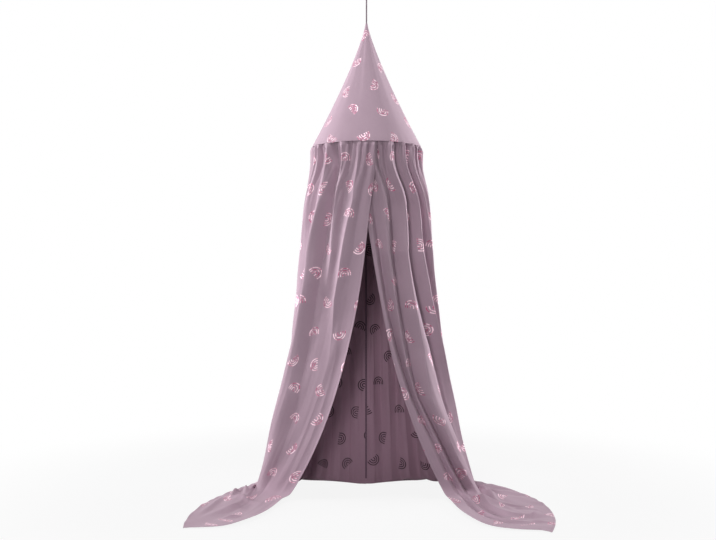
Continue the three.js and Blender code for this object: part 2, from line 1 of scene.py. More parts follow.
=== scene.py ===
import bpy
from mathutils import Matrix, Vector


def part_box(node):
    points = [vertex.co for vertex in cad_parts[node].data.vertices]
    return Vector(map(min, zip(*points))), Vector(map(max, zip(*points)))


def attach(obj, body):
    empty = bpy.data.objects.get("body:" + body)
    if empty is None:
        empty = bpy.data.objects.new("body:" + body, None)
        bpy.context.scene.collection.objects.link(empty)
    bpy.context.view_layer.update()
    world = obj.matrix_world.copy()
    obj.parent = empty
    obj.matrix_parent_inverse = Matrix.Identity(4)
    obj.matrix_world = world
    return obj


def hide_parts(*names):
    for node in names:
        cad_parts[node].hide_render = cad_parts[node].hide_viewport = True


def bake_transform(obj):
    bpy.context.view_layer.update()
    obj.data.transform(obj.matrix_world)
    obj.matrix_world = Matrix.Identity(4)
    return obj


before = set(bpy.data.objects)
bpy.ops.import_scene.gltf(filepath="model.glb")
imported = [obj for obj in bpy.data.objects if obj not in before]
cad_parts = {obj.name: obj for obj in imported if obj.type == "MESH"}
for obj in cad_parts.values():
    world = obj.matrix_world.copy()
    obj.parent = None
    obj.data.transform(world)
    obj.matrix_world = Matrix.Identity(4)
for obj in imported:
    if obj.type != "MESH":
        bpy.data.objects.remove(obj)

"""Hanging bed canopy: a printed cloth cone over a hoop, two gathered panels with tails on the floor, and the
cord, crimp, hook and plate that it hangs from. Everything is in metres, with +Z up and the origin at the
ceiling."""

import logging
import math
from dataclasses import dataclass, field
from enum import Enum
from typing import Any, Callable, Sequence

import bpy
import numpy as np

LOG = logging.getLogger("canopy")
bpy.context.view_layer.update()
Colour = tuple[float, float, float, float]

# The hoop's height above the floor and its radius
RING_HEIGHT = 1.45
RING_RADIUS = 0.225

MILLIMETRE = 0.001
TURN = 2 * math.pi
# A profile's points nearer to the axis than this lie on it
ON_AXIS = 1e-9
# Corners of a four-sided face as seen from its other side
TURNED_OVER = [0, 3, 2, 1]


class Body(str, Enum):
    """The moving bodies that pieces ride on."""

    CEILING = "ceiling"
    CANOPY = "canopy"
    LEFT = "left_curtain"
    RIGHT = "right_curtain"


class Slot(str, Enum):
    """The record's material slots; pieces are built with one, which nothing reads."""

    CLOTH = "cloth"
    TAPE = "tape"
    CORD = "cord"
    STEEL = "steel"
    PLASTIC = "white_plastic"
    ROD = "rod_plastic"
    BEECH = "beech"


# Shader maths


class Socket:
    """The output of a node, or a plain number, on which Python's operators add Math nodes."""

    def __init__(self, sheet: "NodeSheet", value: Any) -> None:
        """Wrap a node's output or a number.

        Args:
            sheet: the node sheet that new nodes go on.
            value: a node's output or a number.
        """
        self.sheet = sheet
        self.value = value

    def math(self, operation: str, *others: Any) -> "Socket":
        """Apply a Math node to this value.

        Args:
            operation: the Math node's operation.
            others: the second and third operand.

        Returns:
            The node's result.
        """
        inputs = dict(enumerate([self, *others]))
        return self.sheet.node("ShaderNodeMath", {"operation": operation}, inputs)

    def __add__(self, other: Any) -> "Socket":
        """Sum."""
        return self.math("ADD", other)

    def __radd__(self, other: Any) -> "Socket":
        """Sum with the number first."""
        return Socket(self.sheet, other).math("ADD", self)

    def __sub__(self, other: Any) -> "Socket":
        """Difference."""
        return self.math("SUBTRACT", other)

    def __rsub__(self, other: Any) -> "Socket":
        """Difference with the number first."""
        return Socket(self.sheet, other).math("SUBTRACT", self)

    def __mul__(self, other: Any) -> "Socket":
        """Product."""
        return self.math("MULTIPLY", other)

    def __rmul__(self, other: Any) -> "Socket":
        """Product with the number first."""
        return Socket(self.sheet, other).math("MULTIPLY", self)

    def __truediv__(self, other: Any) -> "Socket":
        """Quotient."""
        return self.math("DIVIDE", other)

    def __rtruediv__(self, other: Any) -> "Socket":
        """Quotient with the number first."""
        return Socket(self.sheet, other).math("DIVIDE", self)

    def __abs__(self) -> "Socket":
        """The value without its sign."""
        return self.math("ABSOLUTE")

    def step(self, low: float, high: float) -> "Socket":
        """Smooth step from 0 at low to 1 at high, or the other way round if high is the smaller.

        Args:
            low: where it is 0.
            high: where it is 1.

        Returns:
            The node's result.
        """
        settings = {"interpolation_type": "SMOOTHSTEP", "clamp": True}
        start, end = (0.0, 1.0) if low < high else (1.0, 0.0)
        inputs = {"Value": self, 1: min(low, high), 2: max(low, high), 3: start, 4: end}
        return self.sheet.node("ShaderNodeMapRange", settings, inputs)


class NodeSheet:
    """The node tree of one material or of the world, with its shader and output in place."""

    def __init__(self, owner: bpy.types.Material | bpy.types.World, shader: str, output: str) -> None:
        """Start a node tree.

        Args:
            owner: the material or world.
            shader: the type of its shader node.
            output: the type of its output node.
        """
        self.owner = owner
        owner.use_nodes = True
        self.tree = owner.node_tree
        self.tree.nodes.clear()
        self.shader = self.node(shader).value.node
        self.output = self.node(output, None, {"Surface": self.shader.outputs[0]}, None).value

    @classmethod
    def of_material(cls, name: str) -> "NodeSheet":
        """Start a material with a Principled shader."""
        return cls(bpy.data.materials.new(name), "ShaderNodeBsdfPrincipled", "ShaderNodeOutputMaterial")

    @classmethod
    def of_world(cls, name: str) -> "NodeSheet":
        """Start a world with a plain background."""
        return cls(bpy.data.worlds.new(name), "ShaderNodeBackground", "ShaderNodeOutputWorld")

    def plug(self, target: bpy.types.NodeSocket, value: Any) -> None:
        """Set an input to a number or colour, or link it.

        Args:
            target: the input.
            value: a Socket, a node's output, a number or a tuple.
        """
        if isinstance(value, Socket):
            value = value.value
        if isinstance(value, bpy.types.NodeSocket):
            self.tree.links.new(value, target)
        else:
            target.default_value = value

    def node(self, kind: str, settings: dict[str, Any] | None = None, inputs: dict[Any, Any] | None = None,
             output: Any = 0) -> Socket:
        """Add one node.

        Args:
            kind: the node's type.
            settings: properties that are set first.
            inputs: what goes into its sockets, by name or number.
            output: which output to return, or None for a node that has none.

        Returns:
            That output, or the node itself where output is None.
        """
        made = self.tree.nodes.new(kind)
        for name, value in (settings or {}).items():
            setattr(made, name, value)
        for name, value in (inputs or {}).items():
            self.plug(made.inputs[name], value)
        return Socket(self, made if output is None else made.outputs[output])

    def set(self, **values: Any) -> None:
        """Set inputs of the main shader; underscores stand for spaces."""
        for name, value in values.items():
            self.plug(self.shader.inputs[name.replace("_", " ")], value)

    def mix(self, factor: Any, first: Any, second: Any) -> Socket:
        """Mix two colours."""
        return self.node("ShaderNodeMix", {"data_type": "RGBA"}, {0: factor, 6: first, 7: second}, 2)

    def vector(self, x: Any = 0.0, y: Any = 0.0, z: Any = 0.0) -> Socket:
        """Make a vector of three values."""
        return self.node("ShaderNodeCombineXYZ", None, {0: x, 1: y, 2: z})

    def split(self, vector: Socket) -> tuple[Socket, Socket, Socket]:
        """Take a vector apart."""
        made = self.node("ShaderNodeSeparateXYZ", None, {0: vector}).value.node
        return Socket(self, made.outputs[0]), Socket(self, made.outputs[1]), Socket(self, made.outputs[2])

    def noise(self, vector: Socket, scale: float, detail: float = 2.0, rough: float = 0.5) -> Socket:
        """Noise from about 0 to 1 at a place."""
        return self.node("ShaderNodeTexNoise", None,
                         {"Vector": vector, "Scale": scale, "Detail": detail, "Roughness": rough})

    def bump(self, height: Socket, distance: float, strength: float = 1.0) -> Socket:
        """Normal from a height of 0 to 1 that stands for a distance in metres."""
        return self.node("ShaderNodeBump", None,
                         {"Strength": strength, "Distance": distance, "Height": height})

    def place(self) -> Socket:
        """Position on the object, in metres."""
        return self.node("ShaderNodeTexCoord", None, None, "Object")

    def cloth_place(self) -> Socket:
        """Position on the flat cloth, in metres."""
        return self.node("ShaderNodeTexCoord", None, None, "UV")


def opaque(red: float, green: float, blue: float) -> Colour:
    """Linear colour from the three values that a screen shows, each from 0 to 255.

    Args:
        red: from 0 to 255, as the others.
        green: the green value.
        blue: the blue value.

    Returns:
        The colour.
    """
    def linear(value: float) -> float:
        """One value of the colour."""
        share = value / 255
        return share / 12.92 if share <= 0.04045 else ((share + 0.055) / 1.055) ** 2.4
    return linear(red), linear(green), linear(blue), 1.0


# Finishes


@dataclass(frozen=True)
class ArchPrint:
    """Scattered nests of three arcs, each nest turned its own way: a plain geometric ornament."""

    spacing_across: float = 0.135
    spacing_down: float = 0.118
    wander: float = 0.24
    arc_radii: tuple[float, ...] = (0.0062, 0.0152, 0.0242)
    arc_width: float = 0.0038
    leg: float = 0.008
    edge: float = 0.0005

    def mask(self, sheet: NodeSheet, seed: float) -> Socket:
        """Where the print lies on the cloth.

        Args:
            sheet: the node sheet.
            seed: picks the layout.

        Returns:
            1 on the arcs and 0 between them.
        """
        across, down, _ = sheet.split(sheet.cloth_place())
        row = down / self.spacing_down + seed
        row_number = row.math("FLOOR")
        column = across / self.spacing_across + row_number * 0.5 + row_number.math("SINE") * 0.21
        cell = sheet.vector(column.math("FLOOR"), row_number, seed)
        scatter = sheet.node("ShaderNodeTexWhiteNoise", {"noise_dimensions": "3D"}, {"Vector": cell}, "Color")
        aside, along, angle = sheet.split(scatter)
        x = (column.math("FRACT") - 0.5 - (aside - 0.5) * self.wander) * self.spacing_across
        y = (row.math("FRACT") - 0.5 - (along - 0.5) * self.wander) * self.spacing_down
        cosine = (angle * TURN).math("COSINE")
        sine = (angle * TURN).math("SINE")
        turned_x = x * cosine + y * sine
        turned_y = y * cosine - x * sine
        upper = turned_y.math("MAXIMUM", 0.0)
        radius = (turned_x * turned_x + upper * upper).math("SQRT")
        arcs: Any = 0.0
        for arc_radius in self.arc_radii:
            half = self.arc_width / 2
            arcs = abs(radius - arc_radius).step(half + self.edge, half - self.edge) + arcs
        return arcs * turned_y.step(-self.leg - self.edge, -self.leg + self.edge)


@dataclass(frozen=True)
class PrintedCloth:
    """Soft woven cloth: the face has arcs of thin metallic print, the reverse shows them as a darker stain.
    The print's near-white and dark pink patches are painted highlight and painted shade.
    """

    ground: Colour = opaque(186, 160, 175)
    ground_shade: Colour = opaque(172, 145, 161)
    # The print's near-white colour is a painted highlight, and the dark pink below it is painted shade
    foil_painted_light: Colour = opaque(255, 222, 234)
    foil_painted_shade: Colour = opaque(188, 98, 132)
    reverse: Colour = opaque(186, 150, 169)
    reverse_shade: Colour = opaque(171, 134, 153)
    stain: Colour = opaque(26, 12, 20)
    print_layout: ArchPrint = ArchPrint()
    thread_fine: float = 1100.0
    thread_long: float = 70.0
    thread_height: float = 0.00012

    def threads(self, sheet: NodeSheet) -> Socket:
        """Height of the two sets of threads, from 0 to 1.

        Args:
            sheet: the node sheet.

        Returns:
            The height.
        """
        across, down, _ = sheet.split(sheet.cloth_place())
        fine, long = self.thread_fine, self.thread_long
        warp = sheet.noise(sheet.vector(across * fine, down * long), scale=1.0, detail=1.0)
        weft = sheet.noise(sheet.vector(across * long, down * fine, 7.0), scale=1.0, detail=1.0)
        return warp * 0.5 + weft * 0.5

    def tone(self, sheet: NodeSheet, threads: Socket) -> Socket:
        """How far the ground leans to its shade: slow clouds and single threads."""
        clouds = sheet.noise(sheet.cloth_place(), scale=9.0, detail=3.0, rough=0.6)
        return (clouds * 0.55 + threads * 0.75 - 0.15).math("MINIMUM", 1.0)

    def face(self, name: str, seed: float) -> bpy.types.Material:
        """The printed face; its print carries painted highlight and painted shade in random patches.

        Args:
            name: the material's name.
            seed: picks the print's layout.

        Returns:
            The material.
        """
        sheet = NodeSheet.of_material(name)
        threads = self.threads(sheet)
        crackle = sheet.noise(sheet.cloth_place(), scale=900.0)
        mask = self.print_layout.mask(sheet, seed) * crackle.step(0.28, 0.36)
        cloth = sheet.mix(self.tone(sheet, threads), self.ground, self.ground_shade)
        # Crumples of the print: this noise raises the bump and, in the colour, paints highlight and shade in
        # random patches
        crumple_and_painted_light = sheet.noise(sheet.cloth_place(), scale=60.0, rough=0.55)
        foil_painted_light = sheet.mix(crumple_and_painted_light.step(0.4, 0.56), self.foil_painted_shade, self.foil_painted_light)
        sheet.set(
            Base_Color=sheet.mix(mask, cloth, foil_painted_light),
            Metallic=mask * 0.4,
            Roughness=0.82 - mask * 0.26 + threads * 0.06,
            Normal=sheet.bump(threads * 0.6 + crumple_and_painted_light * mask * 0.5 + mask * 0.15, self.thread_height),
            Sheen_Weight=0.12,
            Sheen_Roughness=0.5,
        )
        return sheet.owner

    def back(self, name: str, seed: float) -> bpy.types.Material:
        """The reverse, where the print shows through as dark arcs.

        Args:
            name: the material's name.
            seed: the same seed as the face's.

        Returns:
            The material.
        """
        sheet = NodeSheet.of_material(name)
        threads = self.threads(sheet)
        mask = self.print_layout.mask(sheet, seed)
        cloth = sheet.mix(self.tone(sheet, threads), self.reverse, self.reverse_shade)
        sheet.set(
            Base_Color=sheet.mix(mask * 0.97, cloth, self.stain),
            Roughness=0.86 + threads * 0.08,
            Normal=sheet.bump(threads, self.thread_height),
            Sheen_Weight=0.1,
            Sheen_Roughness=0.5,
        )
        return sheet.owner


@dataclass(frozen=True)
class TapeWeave:
    """Plain cotton tape and sewing thread in one colour."""

    colour: Colour
    shade: Colour
    rib: float = 900.0
    rib_height: float = 0.00015

    def material(self, name: str) -> bpy.types.Material:
        """Make the material.

        Args:
            name: the material's name.

        Returns:
            The material.
        """
        sheet = NodeSheet.of_material(name)
        x, y, z = sheet.split(sheet.place())
        ribs = sheet.noise(sheet.vector(x * self.rib, y * self.rib, z * 150.0), scale=1.0, detail=1.0)
        clouds = sheet.noise(sheet.place(), scale=30.0)
        sheet.set(
            Base_Color=sheet.mix(ribs * 0.7 + clouds * 0.3, self.colour, self.shade),
            Roughness=0.8 + ribs * 0.12,
            Normal=sheet.bump(ribs, self.rib_height),
            Sheen_Weight=0.1,
        )
        return sheet.owner


@dataclass(frozen=True)
class CordYarn:
    """Twisted cord: fine yarns along each strand, a little fluff in the grooves."""

    colour: Colour = opaque(140, 124, 134)
    shade: Colour = opaque(104, 88, 98)
    yarns: float = 2600.0

    def material(self, name: str) -> bpy.types.Material:
        """Make the material.

        Args:
            name: the material's name.

        Returns:
            The material.
        """
        sheet = NodeSheet.of_material(name)
        x, y, z = sheet.split(sheet.place())
        yarn = sheet.noise(sheet.vector(x * self.yarns, y * self.yarns, z * 500.0), scale=1.0, detail=1.0)
        clouds = sheet.noise(sheet.place(), scale=220.0)
        sheet.set(
            Base_Color=sheet.mix(yarn * 0.6 + clouds * 0.4, self.colour, self.shade),
            Roughness=0.78 + yarn * 0.15,
            Normal=sheet.bump(yarn, 0.0002),
            Sheen_Weight=0.2,
        )
        return sheet.owner


@dataclass(frozen=True)
class DrawnSteel:
    """Nickel-plated steel wire or pressed tube, with faint draw lines and handling marks."""

    colour: Colour = opaque(214, 214, 216)
    shade: Colour = opaque(186, 184, 186)
    roughness: float = 0.24

    def material(self, name: str) -> bpy.types.Material:
        """Make the material.

        Args:
            name: the material's name.

        Returns:
            The material.
        """
        sheet = NodeSheet.of_material(name)
        x, y, z = sheet.split(sheet.place())
        lines = sheet.noise(sheet.vector(x * 1500.0, y * 1500.0, z * 90.0), scale=1.0, detail=2.0)
        marks = sheet.noise(sheet.place(), scale=260.0, detail=4.0, rough=0.65)
        sheet.set(
            Base_Color=sheet.mix(marks.step(0.35, 0.75), self.colour, self.shade),
            Metallic=1.0,
            Roughness=lines * 0.12 + marks * 0.14 + (self.roughness - 0.1),
            Normal=sheet.bump(lines, 0.00003),
        )
        return sheet.owner


@dataclass(frozen=True)
class MouldedPlastic:
    """Satin moulded plastic with a fine spark-eroded grain and a few scuffs."""

    colour: Colour
    shade: Colour
    roughness: float = 0.42
    grain: float = 1800.0

    def material(self, name: str) -> bpy.types.Material:
        """Make the material.

        Args:
            name: the material's name.

        Returns:
            The material.
        """
        sheet = NodeSheet.of_material(name)
        grain = sheet.noise(sheet.place(), scale=self.grain)
        scuffs = sheet.noise(sheet.place(), scale=75.0, detail=5.0, rough=0.7)
        sheet.set(
            Base_Color=sheet.mix(scuffs.step(0.45, 0.8), self.colour, self.shade),
            Roughness=self.roughness - 0.05 + scuffs * 0.16,
            Normal=sheet.bump(grain, 0.00003),
            Specular_IOR_Level=0.45,
        )
        return sheet.owner


@dataclass(frozen=True)
class TurnedBeech:
    """Oiled beech with its grain along one side and short dark rays."""

    colour: Colour = opaque(208, 170, 124)
    shade: Colour = opaque(172, 128, 84)

    def material(self, name: str) -> bpy.types.Material:
        """Make the material.

        Args:
            name: the material's name.

        Returns:
            The material.
        """
        sheet = NodeSheet.of_material(name)
        x, y, z = sheet.split(sheet.place())
        grain = sheet.noise(sheet.vector(x * 60.0, y * 900.0, z * 900.0), scale=1.0, detail=3.0)
        rays = sheet.noise(sheet.vector(x * 500.0, y * 2200.0, z * 2200.0), scale=1.0, detail=1.0)
        sheet.set(
            Base_Color=sheet.mix(grain.step(0.3, 0.72), self.colour, self.shade),
            Roughness=0.5 + rays * 0.16,
            Normal=sheet.bump(grain * 0.6 + rays * 0.4, 0.00008),
        )
        return sheet.owner


@dataclass
class Finishes:
    """Every material of the canopy, made once."""

    cloth: PrintedCloth = field(default_factory=PrintedCloth)
    made: dict[str, bpy.types.Material] = field(default_factory=dict)

    def build(self) -> None:
        """Make the materials."""
        for name, seed in (("cone", 3.0), ("left", 11.0), ("right", 23.0)):
            self.made[f"{name}_face"] = self.cloth.face(f"printed_cloth_{name}", seed)
            self.made[f"{name}_back"] = self.cloth.back(f"cloth_reverse_{name}", seed)
        tape = TapeWeave(opaque(128, 100, 118), opaque(104, 78, 95))
        self.made["tape"] = tape.material("seam_tape_weave")
        thread = TapeWeave(opaque(176, 146, 165), opaque(150, 120, 140), rib=4000.0, rib_height=0.00005)
        self.made["thread"] = thread.material("sewing_thread")
        self.made["cord"] = CordYarn().material("cord_yarn")
        self.made["steel"] = DrawnSteel().material("plated_steel")
        plastic = MouldedPlastic(opaque(240, 238, 234), opaque(222, 219, 214))
        self.made["plastic"] = plastic.material("white_plastic")
        rod = MouldedPlastic(opaque(228, 224, 214), opaque(206, 201, 190), roughness=0.35)
        self.made["rod"] = rod.material("rod_plastic")
        self.made["beech"] = TurnedBeech().material("turned_beech")

    def __getitem__(self, name: str) -> bpy.types.Material:
        """One material by its short name."""
        return self.made[name]


# Meshes


def smooth(low: float, high: float, x: Any) -> Any:
    """Smooth step from 0 at low to 1 at high, for numbers and arrays."""
    share = np.clip((np.asarray(x, float) - low) / (high - low), 0, 1)
    return share * share * (3 - 2 * share)


def unit(vectors: np.ndarray) -> np.ndarray:
    """Vectors at length 1, along the last axis."""
    return vectors / np.maximum(np.linalg.norm(vectors, axis=-1, keepdims=True), 1e-12)


@dataclass
class MeshParts:
    """Points, faces, a material number for each face and a place on the cloth for each corner."""

    points: np.ndarray
    faces: list[list[int]]
    face_materials: list[int] | None = None
    corner_places: np.ndarray | None = None

    def build(self, name: str, materials: Sequence[bpy.types.Material], body: Body | None,
              slot: Slot) -> bpy.types.Object:
        """Make the object, dress it and let it ride on its body.

        Args:
            name: the piece's name.
            materials: its materials, in the order of the face numbers.
            body: the body that it rides on, or None for a piece that rides on none.
            slot: the record's material slot; not used.

        Returns:
            The object.
        """
        mesh = bpy.data.meshes.new(name)
        mesh.from_pydata(self.points.reshape(-1, 3).tolist(), [], self.faces)
        for material in materials:
            mesh.materials.append(material)
        if self.face_materials is not None:
            mesh.polygons.foreach_set("material_index", self.face_materials)
        if self.corner_places is not None:
            layer = mesh.uv_layers.new(name="cloth_place")
            layer.data.foreach_set("uv", np.asarray(self.corner_places, np.float32).ravel())
        mesh.shade_smooth()
        mesh.update()
        piece = bpy.data.objects.new(name, mesh)
        bpy.context.scene.collection.objects.link(piece)
        if body is not None:
            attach(piece, body.value)
        LOG.info("%s: %d faces", name, len(mesh.polygons))
        return piece


def joined(parts: Sequence[MeshParts]) -> MeshParts:
    """Several meshes as one, without places on the cloth.

    Args:
        parts: the meshes.

    Returns:
        One mesh.
    """
    points, faces, start = [], [], 0
    for part in parts:
        flat = part.points.reshape(-1, 3)
        points.append(flat)
        faces.extend([[corner + start for corner in face] for face in part.faces])
        start += len(flat)
    return MeshParts(np.concatenate(points), faces)


def numbered(points: np.ndarray) -> np.ndarray:
    """The number of each point of a grid, in the grid's shape."""
    return np.arange(points[..., 0].size).reshape(points.shape[:-1])


def polar(radius: Any, angle: Any, z: Any) -> np.ndarray:
    """Points from their distance to the axis, their angle about it and their height."""
    return np.stack(np.broadcast_arrays(radius * np.cos(angle), radius * np.sin(angle), z), -1)


def circles(across: np.ndarray, up: np.ndarray, sides: int) -> np.ndarray:
    """Unit circles in the planes of two directions: places x sides x 3."""
    angle = (TURN * np.arange(sides) / sides)[None, :, None]
    return across[:, None] * np.cos(angle) + up[:, None] * np.sin(angle)


def ring_faces(index: np.ndarray) -> np.ndarray:
    """Faces between rings of point numbers, each ring closed along the last axis.

    Args:
        index: point numbers; the last two axes are the rings and their sides.

    Returns:
        Four point numbers for each face.
    """
    after = np.roll(index, -1, axis=-1)
    corners = [index[..., :-1, :], after[..., :-1, :], after[..., 1:, :], index[..., 1:, :]]
    return np.stack(corners, -1).reshape(-1, 4)


def ring_mesh(rings: np.ndarray) -> MeshParts:
    """Rings of points joined into one surface that closes both ways.

    Args:
        rings: rings x sides x 3.

    Returns:
        The closed mesh.
    """
    index = numbered(rings)
    return MeshParts(rings, ring_faces(np.concatenate([index, index[:1]])).tolist())


def grid_faces(index: np.ndarray) -> np.ndarray:
    """Faces of a grid of point numbers that is open on all sides."""
    return np.stack([index[:-1, :-1], index[1:, :-1], index[1:, 1:], index[:-1, 1:]], -1).reshape(-1, 4)


def rim_faces(layers: np.ndarray, closed: bool) -> np.ndarray:
    """Faces that join the two layers of a sheet along its open edges.

    Args:
        layers: point numbers, 2 x rows x columns.
        closed: True if the last column meets the first.

    Returns:
        Four point numbers for each face.
    """
    forwards, backwards = [0, 1, 2, 3], [1, 0, 3, 2]
    edges = [(layers[:, 0], forwards), (layers[:, -1], backwards)]
    if not closed:
        edges += [(layers[:, :, 0], backwards), (layers[:, :, -1], forwards)]
    return np.concatenate([
        np.stack([edge[0, :-1], edge[0, 1:], edge[1, 1:], edge[1, :-1]], -1)[:, order]
        for edge, order in edges])


def grid_normals(points: np.ndarray, closed: bool = False) -> np.ndarray:
    """Normals of a grid of points, rows down and columns across.

    Args:
        points: rows x columns x 3.
        closed: True if the last column meets the first.

    Returns:
        Unit normals, on the side where columns to rows turn anticlockwise.
    """
    if closed:
        across = np.roll(points, -1, axis=1) - np.roll(points, 1, axis=1)
    else:
        across = np.gradient(points, axis=1)
    along = np.gradient(points, axis=0)
    return unit(np.cross(along, across))


def thick_sheet(points: np.ndarray, normals: np.ndarray, thickness: Any, places: np.ndarray,
                closed: bool = False) -> MeshParts:
    """A closed sheet with a face, a reverse and a rim.

    Args:
        points: the face, rows x columns x 3.
        normals: the directions out of the face.
        thickness: a number or rows x columns.
        places: the place on the flat cloth, rows x columns x 2; one column more if closed.
        closed: True if the last column meets the first.

    Returns:
        The mesh: faces have material 0 and the reverse has 1.
    """
    depth = np.broadcast_to(np.asarray(thickness, float), points.shape[:2])[..., None]
    layers = np.stack([points, points - normals * depth])
    index, at = numbered(layers), numbered(places)
    if closed:
        index = np.concatenate([index, index[:, :, :1]], axis=2)
    face, back, rim = grid_faces(index[0]), grid_faces(index[1])[:, TURNED_OVER], rim_faces(index, closed)
    faces = np.concatenate([face, back, rim])
    face_at, rim_at = grid_faces(at), rim_faces(np.stack([at, at]), closed)
    corners = np.concatenate([face_at, face_at[:, TURNED_OVER], rim_at]).ravel()
    materials = [0] * len(face) + [1] * len(back) + [0] * len(rim)
    return MeshParts(layers, faces.tolist(), materials, places.reshape(-1, 2)[corners])


def tube(path: np.ndarray, radius: Any, sides: int, start_up: Sequence[float] = (0.0, 1.0, 0.0),
         closed: bool = False) -> MeshParts:
    """A round tube along a path, its frame carried along without twist.

    Args:
        path: points x 3.
        radius: a number, one for each point, or points x sides.
        sides: corners of the section.
        start_up: a direction that isn't along the path's start.
        closed: True if the path's end meets its start.

    Returns:
        The closed mesh.
    """
    count = len(path)
    if closed:
        along = unit(np.roll(path, -1, axis=0) - np.roll(path, 1, axis=0))
    else:
        along = unit(np.gradient(path, axis=0))
    side = unit(np.cross(along[0], np.asarray(start_up, float)))
    sides_dir = np.zeros((count, 3))
    for k in range(count):
        side = unit(side - along[k] * side.dot(along[k]))
        sides_dir[k] = side
    reach = np.broadcast_to(np.asarray(radius, float).reshape(-1, 1) if np.ndim(radius) == 1 else radius,
                            (count, sides))
    points = path[:, None] + circles(sides_dir, np.cross(along, sides_dir), sides) * reach[..., None]
    if closed:
        return ring_mesh(points)
    index = numbered(points)
    return MeshParts(points, ring_faces(index).tolist() + [index[0][::-1].tolist(), index[-1].tolist()])


def lathe(profile: Sequence[tuple[float, float]], sides: int) -> MeshParts:
    """A turned solid about Z.

    Args:
        profile: pairs of radius and height; it closes on itself, or starts and ends on the axis.
        sides: steps round the axis.

    Returns:
        The closed mesh.
    """
    on_axis = [profile[0], profile[-1]] if profile[0][0] < ON_AXIS else []
    angle = TURN * np.arange(sides) / sides
    rings = np.stack([polar(r, angle, z) for r, z in profile if r > ON_AXIS])
    flat, index = rings.reshape(-1, 3), numbered(rings)
    if not on_axis:
        index = np.concatenate([index, index[:1]])
    faces = ring_faces(index)[:, TURNED_OVER].tolist()
    if on_axis:
        start, end = len(flat), len(flat) + 1
        flat = np.concatenate([flat, [[0, 0, on_axis[0][1]], [0, 0, on_axis[1][1]]]])
        faces += [[start, int(index[0][k]), int(index[0][(k + 1) % sides])] for k in range(sides)]
        faces += [[end, int(index[-1][(k + 1) % sides]), int(index[-1][k])] for k in range(sides)]
    return MeshParts(flat, faces)


def rounded(profile: Sequence[tuple[float, float, float]], steps: int = 5) -> list[tuple[float, float]]:
    """A profile with its corners rounded.

    Args:
        profile: radius, height and corner radius of each corner.
        steps: points on each rounded corner.

    Returns:
        Pairs of radius and height.
    """
    made = []
    count = len(profile)
    for k, (r, z, corner) in enumerate(profile):
        here = np.array([r, z])
        if corner <= 0 or k in (0, count - 1) and profile[0][0] < ON_AXIS:
            made.append((r, z))
            continue
        before = np.array(profile[k - 1][:2]) - here
        after = np.array(profile[(k + 1) % count][:2]) - here
        reach = min(corner, np.linalg.norm(before) / 2, np.linalg.norm(after) / 2)
        start, end = here + unit(before) * reach, here + unit(after) * reach
        for share in np.linspace(0, 1, steps):
            point = start * (1 - share) ** 2 + here * 2 * share * (1 - share) + end * share ** 2
            made.append((float(point[0]), float(point[1])))
    return made


def centripetal(points: Sequence[Sequence[float]], steps: int) -> np.ndarray:
    """A smooth curve through points, as the solid's route is.

    Args:
        points: the points.
        steps: steps between two points.

    Returns:
        Points of the curve.
    """
    knots = [np.asarray(point, float) for point in points]
    knots = [2 * knots[0] - knots[1], *knots, 2 * knots[-1] - knots[-2]]
    made = []
    for k in range(1, len(knots) - 2):
        p0, p1, p2, p3 = knots[k - 1:k + 3]
        t1 = np.linalg.norm(p1 - p0) ** 0.5
        t2 = t1 + np.linalg.norm(p2 - p1) ** 0.5
        t3 = t2 + np.linalg.norm(p3 - p2) ** 0.5
        for share in np.arange(steps) / steps:
            t = t1 + (t2 - t1) * share
            a1 = p0 * (t1 - t) / t1 + p1 * t / t1
            a2 = p1 * (t2 - t) / (t2 - t1) + p2 * (t - t1) / (t2 - t1)
            a3 = p2 * (t3 - t) / (t3 - t2) + p3 * (t - t2) / (t3 - t2)
            b1 = a1 * (t2 - t) / t2 + a2 * t / t2
            b2 = a2 * (t3 - t) / (t3 - t1) + a3 * (t - t1) / (t3 - t1)
            made.append(b1 * (t2 - t) / (t2 - t1) + b2 * (t - t1) / (t2 - t1))
    made.append(knots[-2])
    return np.array(made)


def path_length(path: np.ndarray) -> float:
    """Length of a path in metres."""
    return float(np.linalg.norm(np.diff(path, axis=0), axis=1).sum())


def lengths_along(path: np.ndarray) -> np.ndarray:
    """How far along a path each of its points lies."""
    return np.concatenate([[0], np.cumsum(np.linalg.norm(np.diff(path, axis=0), axis=1))])


def evenly(path: np.ndarray, step: float) -> np.ndarray:
    """A path with its points an even step apart.

    Args:
        path: points of the line.
        step: how far apart they are to be, about.

    Returns:
        The new points.
    """
    run = lengths_along(path)
    at = np.linspace(0, run[-1], max(int(round(run[-1] / step)), 2) + 1)
    return np.stack([np.interp(at, run, path[:, axis]) for axis in range(3)], -1)


